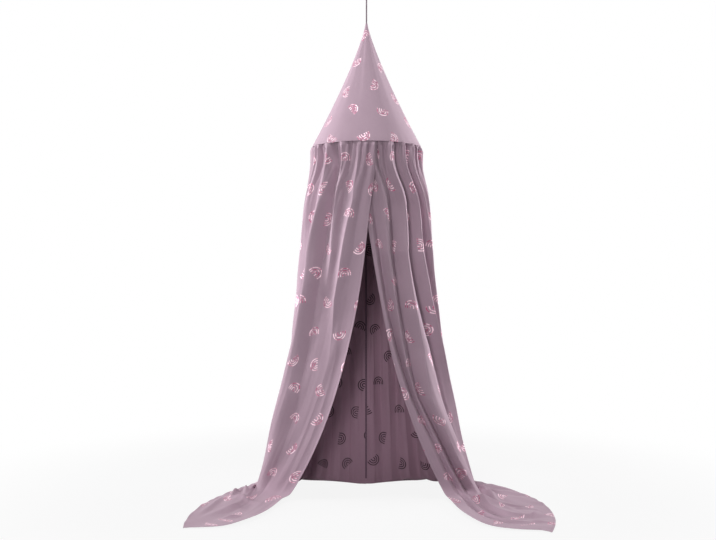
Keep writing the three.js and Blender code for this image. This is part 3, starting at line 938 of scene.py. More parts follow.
@dataclass(frozen=True)
class Sewing:
    """A row of lockstitches that lie on the cloth and dive into it at both ends."""

    pitch: float = 0.0036
    stitch: float = 0.0027
    radius: float = 0.00028
    rise: float = 0.00022
    sides: int = 5

    def along(self, centres: np.ndarray, directions: np.ndarray, normals: np.ndarray) -> MeshParts:
        """Stitches at given places.

        Args:
            centres: the middle of each stitch.
            directions: the way it runs.
            normals: the direction out of the cloth.

        Returns:
            One mesh of all the stitches.
        """
        directions, normals = unit(directions), unit(normals)
        circle = circles(unit(np.cross(directions, normals)), normals, self.sides)
        rings = []
        for share, height, size in ((-0.5, -0.9, 0.5), (-0.28, 0.7, 1.0), (0.28, 0.7, 1.0), (0.5, -0.9, 0.5)):
            centre = centres + directions * share * self.stitch + normals * height * self.rise
            rings.append(centre[:, None] + circle * self.radius * size)
        points = np.stack(rings, 1)
        index = numbered(points)
        caps = np.concatenate([index[:, 0, ::-1], index[:, -1]])
        return MeshParts(points, ring_faces(index).tolist() + caps.tolist())

    def on_path(self, path: np.ndarray, normal_at: Callable[[np.ndarray], np.ndarray]) -> MeshParts:
        """Stitches along a path at an even pitch.

        Args:
            path: points of the line.
            normal_at: gives the direction out of the cloth at points.

        Returns:
            One mesh of all the stitches.
        """
        spots = evenly(path, self.pitch)
        directions = np.gradient(spots, axis=0)
        return self.along(spots, directions, normal_at(spots))


# Sizes that the cloth pieces share


@dataclass(frozen=True)
class Levels:
    """Heights and radii of the canopy."""

    ring_z: float
    ring_height: float
    ring_radius: float
    apex_z: float
    foot_z: float

    @property
    def floor_z(self) -> float:
        """Height of the floor."""
        return self.ring_z - self.ring_height


def read_levels() -> Levels:
    """Put the solids' levels and the hoop's own sizes together.

    Returns:
        The levels.
    """
    ring_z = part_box("back_seam_tape")[1].z
    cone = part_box("cone_front")
    return Levels(ring_z, RING_HEIGHT, RING_RADIUS, cone[1].z, cone[0].z)


# Hanging parts


@dataclass
class Hanger:
    """Ceiling plate, retainer, swivel hook, cord, crimp, washer and knot."""

    finishes: Finishes
    plate_radius: float = 0.032
    plate_thickness: float = 0.005
    boss_radius: float = 0.012
    boss_bottom: float = -0.014
    socket_radius: float = 0.0075
    plate_edge: float = 0.0016
    plate_sharp_from: float = 40.0
    metal_sharp_from: float = 50.0
    screw_offset: float = 0.022
    screw_hole_radius: float = 0.0023
    screw_head_radius: float = 0.0045
    screw_head_depth: float = 0.0026
    wire_radius: float = 0.0023
    wire_sides: int = 28
    bowl_radius: float = 0.010
    cord_radius: float = 0.003
    cord_strands: int = 3
    cord_lay: float = 0.011
    cord_groove: float = 0.16
    cord_leg: float = 0.0034
    cord_loop: float = 0.012
    head_radius: float = 0.006
    head_height: float = 0.003
    knot_radius: float = 0.0027
    knot_width: float = 0.00162
    knot_height: float = 0.0042
    clearance: float = 0.0003

    def build(self) -> None:
        """Make every hanging part."""
        self.ceiling_plate()
        self.retainer()
        self.hook()
        crimp = self.crimp()
        knot = self.knot()
        self.cord([crimp, knot])
        self.washer()

    def ceiling_plate(self) -> None:
        """The moulded plate with its boss, its blind socket and two countersunk holes."""
        body = lathe(rounded([
            (0, 0, 0), (self.plate_radius, 0, 0.0004),
            (self.plate_radius, -self.plate_thickness, self.plate_edge),
            (self.boss_radius + 0.002, -self.plate_thickness, 0.0012),
            (self.boss_radius, self.boss_bottom, 0.0012),
            (self.socket_radius, self.boss_bottom, 0.0005),
            (self.socket_radius, -self.plate_thickness, 0.0003), (0, -self.plate_thickness, 0),
        ]), 96)
        plate = body.build("ceiling_plate_moulding", [self.finishes["plastic"]], Body.CEILING, Slot.PLASTIC)
        past = 0.002
        for side in (-1, 1):
            tool = lathe([
                (0, past), (self.screw_hole_radius, past),
                (self.screw_hole_radius, self.screw_head_depth - self.plate_thickness),
                (self.screw_head_radius, -self.plate_thickness),
                (self.screw_head_radius, -self.plate_thickness - past), (0, -self.plate_thickness - past),
            ], 48)
            tool.points = tool.points + np.array([side * self.screw_offset, 0, 0])
            cutter = tool.build(f"screw_hole_tool_{side + 1}", [self.finishes["plastic"]], None, Slot.PLASTIC)
            cut = plate.modifiers.new("screw_hole", "BOOLEAN")
            cut.operation = "DIFFERENCE"
            cut.solver = "EXACT"
            cut.object = cutter
            bpy.context.view_layer.update()
            depsgraph = bpy.context.evaluated_depsgraph_get()
            shaped = bpy.data.meshes.new_from_object(plate.evaluated_get(depsgraph))
            plate.modifiers.clear()
            plate.data = shaped
            bpy.data.objects.remove(cutter)
        plate.data.shade_smooth()
        plate.data.set_sharp_from_angle(angle=math.radians(self.plate_sharp_from))
        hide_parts("ceiling_plate")

    def retainer(self) -> None:
        """The flanged bush that carries the hook's head."""
        low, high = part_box("hook_retainer")
        inner = self.wire_radius + self.clearance
        flange_top = self.boss_bottom - self.clearance
        piece = lathe(rounded([
            (inner, high.z, 0.0004), (self.socket_radius - self.clearance, high.z, 0.0003),
            (self.socket_radius - self.clearance, flange_top, 0.0002), (high.x, flange_top, 0.0004),
            (high.x, low.z, 0.0008), (inner, low.z, 0.0005),
        ]), 72).build("hook_retainer_bush", [self.finishes["plastic"]], Body.CEILING, Slot.PLASTIC)
        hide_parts("hook_retainer")

    def hook(self) -> None:
        """The plated hook: a round head, a stem and a bowl with a ball tip."""
        low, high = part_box("swivel_hook")
        bowl = self.bowl_radius
        bowl_z = low.z + self.wire_radius + bowl
        stem_z = bowl_z + bowl + 0.009
        points = [(0, 0, high.z - 0.0015), (0, 0, self.boss_bottom - self.clearance), (0, 0, stem_z)]
        for angle in np.radians(np.linspace(38, -205, 9)):
            points.append((bowl * math.cos(angle), 0, bowl_z + bowl * math.sin(angle)))
        path = evenly(centripetal(points, 12), 0.0007)
        wire = tube(path, np.full(len(path), self.wire_radius), self.wire_sides)
        swell = 1.04
        ball = [(self.wire_radius * math.sin(angle), self.wire_radius * math.cos(angle))
                for angle in np.linspace(0, math.pi, 13)]
        ball[0], ball[-1] = (0.0, self.wire_radius), (0.0, -self.wire_radius)
        tip_ball = lathe([(r * swell, z * swell) for r, z in ball], self.wire_sides)
        tip_ball.points = tip_ball.points + path[-1]
        head = lathe(rounded([
            (0, high.z, 0), (self.head_radius, high.z, 0.0008),
            (self.head_radius, high.z - self.head_height, 0.0005), (0, high.z - self.head_height, 0),
        ]), 56)
        piece = joined([wire, tip_ball, head]).build(
            "swivel_hook_wire", [self.finishes["steel"]], Body.CANOPY, Slot.STEEL)
        piece.data.set_sharp_from_angle(angle=math.radians(self.metal_sharp_from))
        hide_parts("swivel_hook")

    def route(self) -> np.ndarray:
        """The cord's route: from the washer up through the cone's tip, the crimp and the hook, and back.

        Returns:
            Points of the route.
        """
        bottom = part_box("hanging_cord")[0].z
        crimp_low, crimp_high = (corner.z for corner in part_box("cord_crimp"))
        loop_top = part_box("hanging_cord")[1].z - self.cord_radius
        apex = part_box("cone_front")[1].z
        leg, loop = self.cord_leg, self.cord_loop
        centre = loop_top - loop
        half = loop * math.sqrt(0.5)
        spots = [
            (0, bottom), (0, apex), (0, (apex + crimp_low) / 2), (0, crimp_low - 0.018),
            (-leg, crimp_low), (-leg, crimp_high), (-loop, centre), (-half, centre + half), (0, loop_top),
            (half, centre + half), (loop, centre), (leg, crimp_high), (leg, crimp_low),
        ]
        return evenly(centripetal([(0.0, y, z) for y, z in spots], 16), 0.0008)

    def cord(self, with_pieces: list[bpy.types.Object]) -> None:
        """The twisted cord, three strands laid round each other.

        Args:
            with_pieces: the crimp and the knot, which go with the cord; not used.
        """
        path = self.route()
        sides = 30
        run = np.linspace(0, path_length(path), len(path))[:, None]
        angle = TURN * np.arange(sides)[None] / sides
        twist = TURN * run / self.cord_lay / self.cord_strands
        strand = np.abs(np.cos(self.cord_strands / 2 * (angle - twist)))
        reach = self.cord_radius * (1 - self.cord_groove * (1 - strand) ** 1.5)
        piece = tube(path, reach, sides, (1.0, 0.0, 0.0)).build(
            "hanging_cord_twist", [self.finishes["cord"]], Body.CANOPY, Slot.CORD)
        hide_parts("hanging_cord")

    def crimp(self) -> bpy.types.Object:
        """The pressed ferrule round both legs of the cord, with rolled ends.

        Returns:
            The ferrule.
        """
        low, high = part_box("cord_crimp")
        sides = 64
        outer = high.x
        inner = self.cord_radius + 0.0002
        rows = []
        height = high.z - low.z
        for share in np.linspace(0, 1, 25):
            pinch = 0.0007 * math.sin(math.pi * share) ** 0.5 * (0.75 + 0.25 * math.cos(TURN * 2 * share))
            rows.append((outer - pinch, low.z + height * share))
        rows += [(inner, high.z), (inner, low.z)]
        angle = TURN * np.arange(sides) / sides
        rings = []
        for reach, z in rows:
            x = reach * np.cos(angle)
            y = reach * np.sin(angle) + self.cord_leg * np.tanh(6 * np.sin(angle))
            rings.append(np.stack([x, y, np.full(sides, z)], -1))
        piece = ring_mesh(np.stack(rings)).build(
            "cord_crimp_ferrule", [self.finishes["steel"]], Body.CANOPY, Slot.STEEL)
        piece.data.set_sharp_from_angle(angle=math.radians(self.metal_sharp_from))
        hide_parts("cord_crimp")
        return piece

    def washer(self) -> None:
        """The turned washer inside the cone's tip."""
        low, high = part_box("apex_washer")
        inner = self.cord_radius + self.clearance
        piece = lathe(rounded([
            (inner, low.z, 0.0006), (high.x, low.z, 0.0014),
            (high.x, high.z, 0.0014), (inner, high.z, 0.0006),
        ]), 72).build("apex_washer_turned", [self.finishes["beech"]], Body.CANOPY, Slot.BEECH)
        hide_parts("apex_washer")

    def knot(self) -> bpy.types.Object:
        """The stopper knot: the cord's end tied round itself and its short tail.

        Returns:
            The knot.
        """
        low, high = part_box("stopper_knot")
        centre = (low.z + high.z) / 2 + 0.0018
        radius, wide = self.knot_radius, self.knot_width
        angle = np.linspace(0, TURN, 220, endpoint=False)
        loop = np.stack([
            wide * (np.sin(angle) + 2 * np.sin(2 * angle)),
            wide * (np.cos(angle) - 2 * np.cos(2 * angle)),
            centre - self.knot_height * np.sin(3 * angle),
        ], -1)
        tail = np.array([(0.0008, 0.0, centre), (0.0012, 0.0006, low.z + 0.004), (0.0018, 0.001, low.z)])
        tail_path = evenly(centripetal(tail, 10), 0.0008)
        flare = np.full(len(tail_path), radius)
        flare[-3:] = radius * 1.12
        piece = joined([tube(loop, radius, 20, closed=True), tube(tail_path, flare, 20)]).build(
            "stopper_knot_tied", [self.finishes["cord"]], Body.CANOPY, Slot.CORD)
        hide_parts("stopper_knot")
        return piece


# Cloth pieces


@dataclass
class Cone:
    """The cloth cone: two halves of printed cloth, sewn at the sides, with a lip over the seam below."""

    levels: Levels
    finishes: Finishes
    tip_radius: float = 0.0043
    power: float = 1.25
    thickness: float = 0.0007
    lip_out: float = 0.0012
    rows: int = 170
    columns: int = 221
    seam_dip: float = 0.0009
    seam_reach: float = 0.0016
    seam_stitch_gap: float = 0.0055
    foot_stitch_height: float = 0.0085
    foot_pucker: float = 0.00035
    stitch_dent: float = 0.0005
    lip_curl: float = 0.0011
    lip_steps: tuple[float, ...] = (
        0.0006, 0.0012, 0.0018, 0.0024, 0.0036, 0.0044, 0.0048, 0.0052, 0.0056, 0.0058)
    edge_steps: tuple[float, ...] = (0.0008, 0.002, 0.0035)
    tape_inset: float = 0.0016
    tape_bulge: float = 0.0004
    tape_thickness: float = 0.0006
    tension_waves: tuple[tuple[int, float, float], ...] = (
        (5, 0.0016, 0.4), (9, 0.0006, 2.1), (14, 0.00035, 4.4), (23, 0.0002, 1.0))

    @property
    def drop(self) -> float:
        """Height of the cone."""
        return self.levels.apex_z - self.levels.foot_z

    def bare_radius(self, share: np.ndarray) -> np.ndarray:
        """Radius of the smooth cone at shares of its drop."""
        return self.tip_radius + (self.levels.ring_radius - self.tip_radius) * share ** self.power

    def outer(self, share: np.ndarray, around: np.ndarray, centre: float) -> np.ndarray:
        """Points of the face.

        Args:
            share: 0 at the tip and 1 at the foot; past 1 comes the lip, at 1 metre for each unit.
            around: angles about the axis.
            centre: angle of the half's middle.

        Returns:
            The points.
        """
        on_cone = np.clip(share, 0, 1)
        past = np.maximum(share - 1, 0)
        waves = sum(size * np.cos(count * around + turn) for count, size, turn in self.tension_waves)
        pull = self.foot_pucker * np.cos(46 * around + 3 * np.sin(5 * around)) * smooth(0.9, 1.0, on_cone)
        waves = waves * np.sin(math.pi * on_cone) ** 0.7 * smooth(0.0, 0.25, on_cone)
        radius = self.bare_radius(on_cone) + waves + pull
        from_seam = np.abs(math.pi / 2 - np.abs(around - centre)) * radius
        radius = radius - self.seam_dip * np.clip(1 - from_seam / self.seam_reach, 0, 1) ** 2
        stitched = np.exp(-((self.levels.foot_z - self.drop * (share - 1) * (share < 1)
                             - (self.levels.ring_z + self.foot_stitch_height)) / 0.0016) ** 2)
        radius = radius - self.stitch_dent * stitched * (share < 1)
        lip = smooth(0, 0.0022, past) * self.lip_out
        curl = np.clip((past - 0.0042) / 0.0016, 0, 1)
        radius = radius + lip - self.lip_curl * curl ** 2
        z = self.levels.foot_z + self.drop * (1 - on_cone) - past
        return polar(radius, around, z)

    def build(self) -> None:
        """Make both halves, their stitches and their tapes."""
        for name, node, centre in (("front", "cone_front", -math.pi / 2), ("back", "cone_back", math.pi / 2)):
            self.half(name, node, centre)
        self.tapes()

    def half(self, name: str, node: str, centre: float) -> None:
        """Make one half of the cone.

        Args:
            name: front or back.
            node: the solid that it stands for.
            centre: angle of its middle.
        """
        edge = 0.0003 / self.levels.ring_radius
        steps = np.sort(np.concatenate([
            np.linspace(-1, 1, self.columns), *[side * (1 - np.array(self.edge_steps)) for side in (-1, 1)]]))
        around = centre + steps * (math.pi / 2 - edge)
        shares = np.concatenate([np.linspace(0, 1, self.rows) ** 1.15, 1 + np.array(self.lip_steps)])
        share_grid, around_grid = np.meshgrid(shares, around, indexing="ij")
        points = self.outer(share_grid, around_grid, centre)
        normals = grid_normals(points)
        middle = self.outer(shares, np.full_like(shares, centre), centre)
        slant = lengths_along(middle)
        turn = (around_grid - centre) * self.levels.ring_radius / slant[self.rows - 1]
        places = np.stack([slant[:, None] * np.sin(turn), slant[:, None] * np.cos(turn)], -1)
        materials = [self.finishes["cone_face"], self.finishes["cone_back"]]
        cloth = thick_sheet(points, normals, self.thickness, places).build(
            f"cone_{name}_cloth", materials, Body.CANOPY, Slot.CLOTH)
        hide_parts(node)
        rows = [self.foot_line(centre)]
        if name == "back":
            rows += [self.side_line(centre, side) for side in (-1, 1)]
        stitches = joined(rows).build(
            f"cone_{name}_stitches", [self.finishes["thread"]], Body.CANOPY, Slot.CLOTH)
        half_angle = math.pi / 2 * self.levels.ring_radius / slant[self.rows - 1]

    def foot_line(self, centre: float) -> MeshParts:
        """Stitches that hold the seam band and the channel, round the foot.

        Args:
            centre: angle of the half's middle.

        Returns:
            The stitches.
        """
        height = self.levels.ring_z + self.foot_stitch_height
        share = 1 - (height - self.levels.foot_z) / self.drop
        around = np.linspace(centre - math.pi / 2, centre + math.pi / 2, 900)
        line = self.outer(np.full_like(around, share), around, centre)
        return Sewing().on_path(line, lambda spots: unit(spots * [1, 1, 0] + [0, 0, 0.12]))

    def side_line(self, centre: float, side: int) -> MeshParts:
        """Stitches beside one side seam.

        Args:
            centre: angle of the half's middle.
            side: -1 or 1, the half's end.

        Returns:
            The stitches.
        """
        shares = np.linspace(0.05, 0.985, 500)
        radius = self.levels.ring_radius * shares ** self.power
        around = centre + side * (math.pi / 2 - self.seam_stitch_gap / radius)
        line = self.outer(shares, around, centre)
        return Sewing().on_path(line, lambda spots: unit(spots * [1, 1, 0] + [0, 0, 0.09]))

    def tapes(self) -> None:
        """The tapes that cover the side seams inside."""
        for name, middle in (("right", 0.0), ("left", math.pi)):
            low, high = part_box(f"cone_seam_tape_{name}")
            half = high.y
            start = (max(min(abs(low.x), abs(high.x)) - self.tip_radius, 0.001)
                     / (self.levels.ring_radius - self.tip_radius)) ** (1 / self.power)
            shares = np.linspace(start, 0.998, 150)
            across = np.linspace(-1, 1, 15)
            share_grid, across_grid = np.meshgrid(shares, across, indexing="ij")
            bulge = self.tape_bulge * np.cos(share_grid * 150) * np.abs(across_grid)
            reach = self.bare_radius(share_grid) - self.tape_inset - bulge
            width = np.arcsin(np.clip(half * 0.97 / reach, 0, 0.6))
            angle = middle + across_grid * width
            z = self.levels.apex_z - share_grid * self.drop
            points = polar(reach, angle, z)
            places = np.stack([across_grid * half, share_grid * 0.56], -1)
            piece = thick_sheet(points, grid_normals(points), self.tape_thickness, places).build(
                f"cone_tape_{name}", [self.finishes["tape"]] * 2, Body.CANOPY, Slot.TAPE)
            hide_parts(f"cone_seam_tape_{name}")


@dataclass
class HoopAssembly:
    """The hoop in its channel, and the turned-in seam allowances that the cone and the panels are sewn to."""

    finishes: Finishes
    rod_radius: float = 0.004
    sleeve_inner: float = 0.0044
    sleeve_outer: float = 0.0054
    sleeve_angle: float = 14.0
    channel_outer: float = 0.0073
    channel_wrap: float = 250.0
    channel_steps: int = 720
    channel_columns: int = 33
    band_height: float = 0.0044
    cloth_thickness: float = 0.0007
    sleeve_sides: int = 32
    sharp_from: float = 45.0
    height: float = field(init=False, default=0.0)
    radius: float = field(init=False, default=0.0)

    def build(self) -> None:
        """Make the rods, sleeves, channel and band."""
        low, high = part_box("hoop_half_right")
        self.height = (low.z + high.z) / 2
        self.radius = high.y - self.rod_radius
        for name, middle in (("right", 0.0), ("left", 180.0)):
            self.rod(name, middle)
        for name, middle in (("back", 90.0), ("front", -90.0)):
            self.sleeve(name, middle)
        self.channel()
        self.band()

    def arc(self, start: float, end: float, steps: int) -> np.ndarray:
        """Points of the hoop's centreline between two angles in degrees."""
        return polar(self.radius, np.radians(np.linspace(start, end, steps)), self.height)

    def rod(self, name: str, middle: float) -> None:
        """One bent half rod with rounded ends.

        Args:
            name: right or left.
            middle: angle of its middle, in degrees.
        """
        gap = math.degrees(0.0004 / self.radius)
        path = self.arc(middle - 90 + gap, middle + 90 - gap, 361)
        run = np.linspace(0, path_length(path), len(path))
        from_end = np.minimum(run, run[-1] - run)
        radius = self.rod_radius - 0.0008 * np.exp(-from_end / 0.0006)
        piece = tube(path, radius, 24, (0, 0, 1)).build(
            f"hoop_rod_{name}", [self.finishes["rod"]], Body.CANOPY, Slot.ROD)
        piece.data.set_sharp_from_angle(angle=math.radians(self.sharp_from))
        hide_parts(f"hoop_half_{name}")

    def sleeve(self, name: str, middle: float) -> None:
        """One tube that joins the rods, with rounded lips.

        Args:
            name: back or front.
            middle: angle of its middle, in degrees.
        """
        path = self.arc(middle - self.sleeve_angle / 2, middle + self.sleeve_angle / 2, 61)
        run = np.linspace(0, path_length(path), len(path))
        lip = 0.00035 * np.exp(-np.minimum(run, run[-1] - run) / 0.0008)
        count = self.sleeve_sides
        outside = tube(path, self.sleeve_outer - lip, count, (0, 0, 1))
        inside = tube(path, self.sleeve_inner + lip * 0.4, count, (0, 0, 1))
        flat_outside, flat_inside = outside.points.reshape(-1, 3), inside.points.reshape(-1, 3)
        faces = outside.faces[:-2]
        offset = len(flat_outside)
        faces += [[corner + offset for corner in face[::-1]] for face in inside.faces[:-2]]
        last = offset - count
        for k in range(count):
            after = (k + 1) % count
            faces.append([k, offset + k, offset + after, after])
            faces.append([last + k, last + after, offset + last + after, offset + last + k])
        piece = MeshParts(np.concatenate([flat_outside, flat_inside]), faces).build(
            f"hoop_sleeve_{name}_tube", [self.finishes["steel"]], Body.CANOPY, Slot.STEEL)
        piece.data.set_sharp_from_angle(angle=math.radians(self.sharp_from))
        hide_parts(f"hoop_sleeve_{name}")

    def channel(self) -> None:
        """The cloth tunnel round the hoop, a little puckered."""
        around = np.linspace(0, TURN, self.channel_steps + 1)[:-1]
        section = np.radians(180 + self.channel_wrap * np.linspace(-0.5, 0.5, self.channel_columns))
        around_grid, section_grid = np.meshgrid(around, section, indexing="ij")
        pucker = (0.00018 * np.cos(88 * around_grid + 3 * np.cos(7 * around_grid))
                  + 0.00012 * np.cos(31 * around_grid))
        reach = self.channel_outer - 0.0003 + pucker
        radius = self.radius + reach * np.cos(section_grid)
        z = self.height + reach * np.sin(section_grid)
        points = polar(radius, around_grid, z).transpose(1, 0, 2)
        normals = -grid_normals(points, True)
        centre = polar(self.radius, around_grid, self.height).transpose(1, 0, 2)
        normals = normals * np.sign(((points - centre) * normals).sum(-1, keepdims=True))
        girth = self.channel_outer * math.radians(self.channel_wrap)
        across, along = np.meshgrid(np.linspace(0, girth, self.channel_columns),
                                    np.linspace(0, TURN * self.radius, self.channel_steps + 1), indexing="ij")
        places = np.stack([along, across], -1)
        piece = thick_sheet(points, normals, self.cloth_thickness, places, closed=True).build(
            "hoop_channel_cloth", [self.finishes["tape"]] * 2, Body.CANOPY, Slot.TAPE)
        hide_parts("hoop_channel")

    def band(self) -> None:
        """The seam allowances, folded in and bound: a soft flat ring."""
        low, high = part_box("seam_band")
        around = np.linspace(0, TURN, self.channel_steps + 1)[:-1]
        outer, inner = high.x - 0.0004, high.x - 0.0116
        middle, half = (low.z + high.z) / 2, self.band_height / 2
        section = []
        for centre, start in ((outer - half, -90), (inner + half, 90)):
            for angle in np.radians(np.linspace(start, start + 180, 9)):
                section.append((centre + half * math.cos(angle), middle + half * math.sin(angle)))
        rings = []
        for radius, z in section:
            depth = (outer - radius) / (outer - inner)
            wave = 0.00035 * np.cos(64 * around + 2 * np.sin(9 * around)) * depth
            rings.append(polar(radius + wave, around, z + wave * 0.3))
        piece = ring_mesh(np.stack(rings)).build(
            "seam_band_cloth", [self.finishes["tape"]], Body.CANOPY, Slot.CLOTH)
        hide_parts("seam_band")


@dataclass(frozen=True)
class Crease:
    """A fold or dent in the cloth that lies on the floor."""

    x: float
    y: float
    angle: float
    length: float
    width: float
    height: float

    def lift(self, x: np.ndarray, y: np.ndarray) -> np.ndarray:
        """Height that it adds at places on the floor.

        Args:
            x: places to the right.
            y: places to the back.

        Returns:
            The heights.
        """
        turn = math.radians(self.angle)
        along = (x - self.x) * math.cos(turn) + (y - self.y) * math.sin(turn)
        aside = (y - self.y) * math.cos(turn) - (x - self.x) * math.sin(turn)
        return self.height * np.exp(-(along / self.length) ** 2 - (aside / self.width) ** 2)


@dataclass(frozen=True)
class FoldProfile:
    """Ridges and valleys in turn at one level, from the back seam to the front edge."""

    level: float
    places: tuple[float, ...]
    heights: tuple[float, ...]


def fold_profiles(back: tuple[float, ...], *rows: tuple[Any, ...]) -> tuple[FoldProfile, ...]:
    """Fold profiles whose back part has its places in common.

    Args:
        back: places of the back part.
        rows: level, heights of the back part, and places and heights of the front part.

    Returns:
        One profile for each row.
    """
    return tuple(FoldProfile(level, back + places, calm + heights) for level, calm, places, heights in rows)


@dataclass(frozen=True)
class PanelCut:
    """How one panel hangs and lies.

    Lengths are shares of the ring's radius, but lifts are in metres. Angles are in degrees.
    """

    name: str
    node: str
    body: Body
    side: int
    width_share: float
    start: float
    linear: float
    late: float
    late_power: float
    hem_back: float
    hem_growth: float
    hem_growth_from: float
    hem_tip: float
    hem_power: float
    bow_in: float
    bow_front: float
    bow_power: float
    lap_sign: int
    lift_back: float
    lift_front: float
    ridge_power: float
    profiles: tuple[FoldProfile, ...]
    creases: tuple[Crease, ...]
    seed: float


@dataclass
class CurtainPanel:
    """One gathered panel as a single curved sheet, from its gathers down to the tail on the floor."""

    cut: PanelCut
    levels: Levels
    finishes: Finishes
    flat_width: float = 1.2
    thickness: float = 0.0007
    hem_thickness: float = 0.0013
    hem_width: float = 0.012
    hem_steps: tuple[float, ...] = (0.0, 0.00012, 0.0003, 0.0006, 0.0045, 0.009, 0.0102, 0.0114, 0.0125)
    hem_room: float = 0.016
    stitch_inset: float = 0.0018
    blend_height: float = 0.45
    # The level curve: how it widens, how its front edge draws back, how the folds crowd
    flare_top: float = 0.22
    flare_top_reach: float = 0.1
    flare_floor: float = 0.9
    flare_floor_power: float = 2.6
    edge_retreat: float = 0.8
    edge_retreat_power: float = 1.4
    side_ease: float = 0.09
    depth_growth: float = 0.2
    crowding: float = 0.1
    back_bulge: float = 0.46
    opened_by: float = 0.14
    # Folds, gathers and small unevenness
    round_share: float = 0.25
    away_power: float = 1.9
    gather_height: float = 0.006
    pucker_height: float = 0.0016
    gather_inset: float = 0.0022
    ripple_height: float = 0.0009
    dent_height: float = 0.0022
    edge_pull: float = 0.012
    hem_wave_height: float = 0.0012
    # The crease at the floor and the gap at the back seam
    foot_bend: float = 0.026
    seam_bend: float = 0.001
    seam_gap: float = 0.0003
    # Steps of the mesh
    columns: int = 421
    hang_rows: int = 190
    bend_rows: int = 25
    floor_rows: int = 150

    # Where the bare sheet runs, without its folds

    def level(self, t: np.ndarray, s: np.ndarray) -> tuple[np.ndarray, np.ndarray]:
        """Level curve that the folds ride on: a circle at the ring and an open tent lower down.

        Args:
            t: 0 at the back seam and 1 at the front edge.
            s: 0 at the ring and 1 at the floor.

        Returns:
            Places out to the panel's side and to the back.
        """
        cut, ring = self.cut, self.levels.ring_radius
        flare = 1 + cut.width_share * (
            self.flare_top * (1 - np.exp(-s / self.flare_top_reach))
            + self.flare_floor * s ** self.flare_floor_power)
        edge_out = ring * (cut.start + cut.linear * s + cut.late * s ** cut.late_power)
        edge_back = -ring * (1 - self.edge_retreat * s ** self.edge_retreat_power)
        half_width = ring * (flare - self.side_ease)
        half_depth = ring * (1 + self.depth_growth * s)
        back_length = np.hypot(half_width, half_depth)
        front_length = np.hypot(half_width - edge_out, edge_back)
        turn = back_length / (back_length + front_length)
        along = t - self.crowding * smooth(0, 0.3, s) * np.sin(math.pi * t)
        back_angle = math.pi / 2 * np.clip(along / turn, 0, 1)
        bulge = self.back_bulge * s * np.sin(back_angle) * np.cos(back_angle) ** 2
        front_angle = math.pi / 2 * np.clip((along - turn) / (1 - turn), 0, 1)
        front = along > turn
        out = np.where(front, edge_out + (half_width - edge_out) * np.cos(front_angle),
                       half_width * np.sin(back_angle))
        back = np.where(front, edge_back * np.sin(front_angle), ring * (np.cos(back_angle) + bulge))
        around = t * (math.pi + math.asin(-cut.start))
        opened = smooth(0, self.opened_by, s)
        return (ring * np.sin(around) * (1 - opened) + out * opened,
                ring * np.cos(around) * (1 - opened) + back * opened)

    def hem(self, t: np.ndarray) -> tuple[np.ndarray, np.ndarray]:
        """The hem's line on the floor.

        Args:
            t: place across the panel, 0 at the back seam.

        Returns:
            Places out to the panel's side and to the back.
        """
        cut = self.cut
        angle = cut.hem_tip * t
        growth = np.maximum(angle - cut.hem_growth_from, 0) / (cut.hem_tip - cut.hem_growth_from)
        radius = self.levels.ring_radius * (cut.hem_back + cut.hem_growth * growth ** cut.hem_power)
        return radius * np.sin(np.radians(angle)), radius * np.cos(np.radians(angle))

    def bend(self, t: np.ndarray) -> np.ndarray:
        """Radius of the soft crease at the floor."""
        return self.seam_bend + (self.foot_bend - self.seam_bend) * smooth(0.02, 0.35, t)

    def floor_length(self, t: np.ndarray) -> np.ndarray:
        """Length of the part that lies on the floor."""
        foot, hem = self.level(t, np.ones_like(t)), self.hem(t)
        return np.hypot(hem[0] - foot[0], hem[1] - foot[1])

    # Folds

    def fold(self, t: np.ndarray, s: np.ndarray) -> np.ndarray:
        """Height of the main folds, between ridges and valleys that wander down the cloth.

        Args:
            t: place across the panel.
            s: place down it.

        Returns:
            Distance out of the bare sheet, in metres.
        """
        cut = self.cut
        t, s = np.broadcast_arrays(t, s)
        levels = [profile.level for profile in cut.profiles]
        places = self.between(levels, [profile.places for profile in cut.profiles], s)
        heights = self.between(levels, [profile.heights for profile in cut.profiles], s)
        made = np.zeros(t.shape)
        for k in range(len(places) - 1):
            here = (t >= places[k]) & (t <= places[k + 1])
            share = np.clip((t - places[k]) / np.maximum(places[k + 1] - places[k], 1e-6), 0, 1)
            from_ridge = share if k % 2 == 0 else 1 - share
            if k % 2 == (cut.side < 0):
                drop = 1 - (1 - from_ridge) ** cut.ridge_power
            else:
                drop = (self.round_share * np.sin(math.pi / 2 * from_ridge) ** 2
                        + (1 - self.round_share) * from_ridge ** self.away_power)
            ridge, valley = (heights[k], heights[k + 1]) if k % 2 == 0 else (heights[k + 1], heights[k])
            made = np.where(here, ridge + (valley - ridge) * drop, made)
        return made * MILLIMETRE

    @staticmethod
    def between(levels: Sequence[float], tables: Sequence[Sequence[float]],
                s: np.ndarray) -> list[np.ndarray]:
        """Numbers of a table at each place down the cloth, eased from one level to the next.

        Args:
            levels: the level of each table.
            tables: as many numbers for each level.
            s: places down the cloth.

        Returns:
            An array for each number of a table.
        """
        index = np.clip(np.searchsorted(levels, s, side="right") - 1, 0, len(levels) - 2)
        low, high = np.array(levels)[index], np.array(levels)[index + 1]
        share = np.clip((s - low) / (high - low), 0, 1)
        table = np.array(tables, float)
        return [table[index, k] * (1 - share) + table[index + 1, k] * share for k in range(table.shape[1])]

    def lapping(self, t: np.ndarray, s: np.ndarray) -> np.ndarray:
        """How far a place lies in the part that laps the other panel."""
        return smooth(0.80, 0.895, t) * (1 - smooth(0.3, 0.5, s))

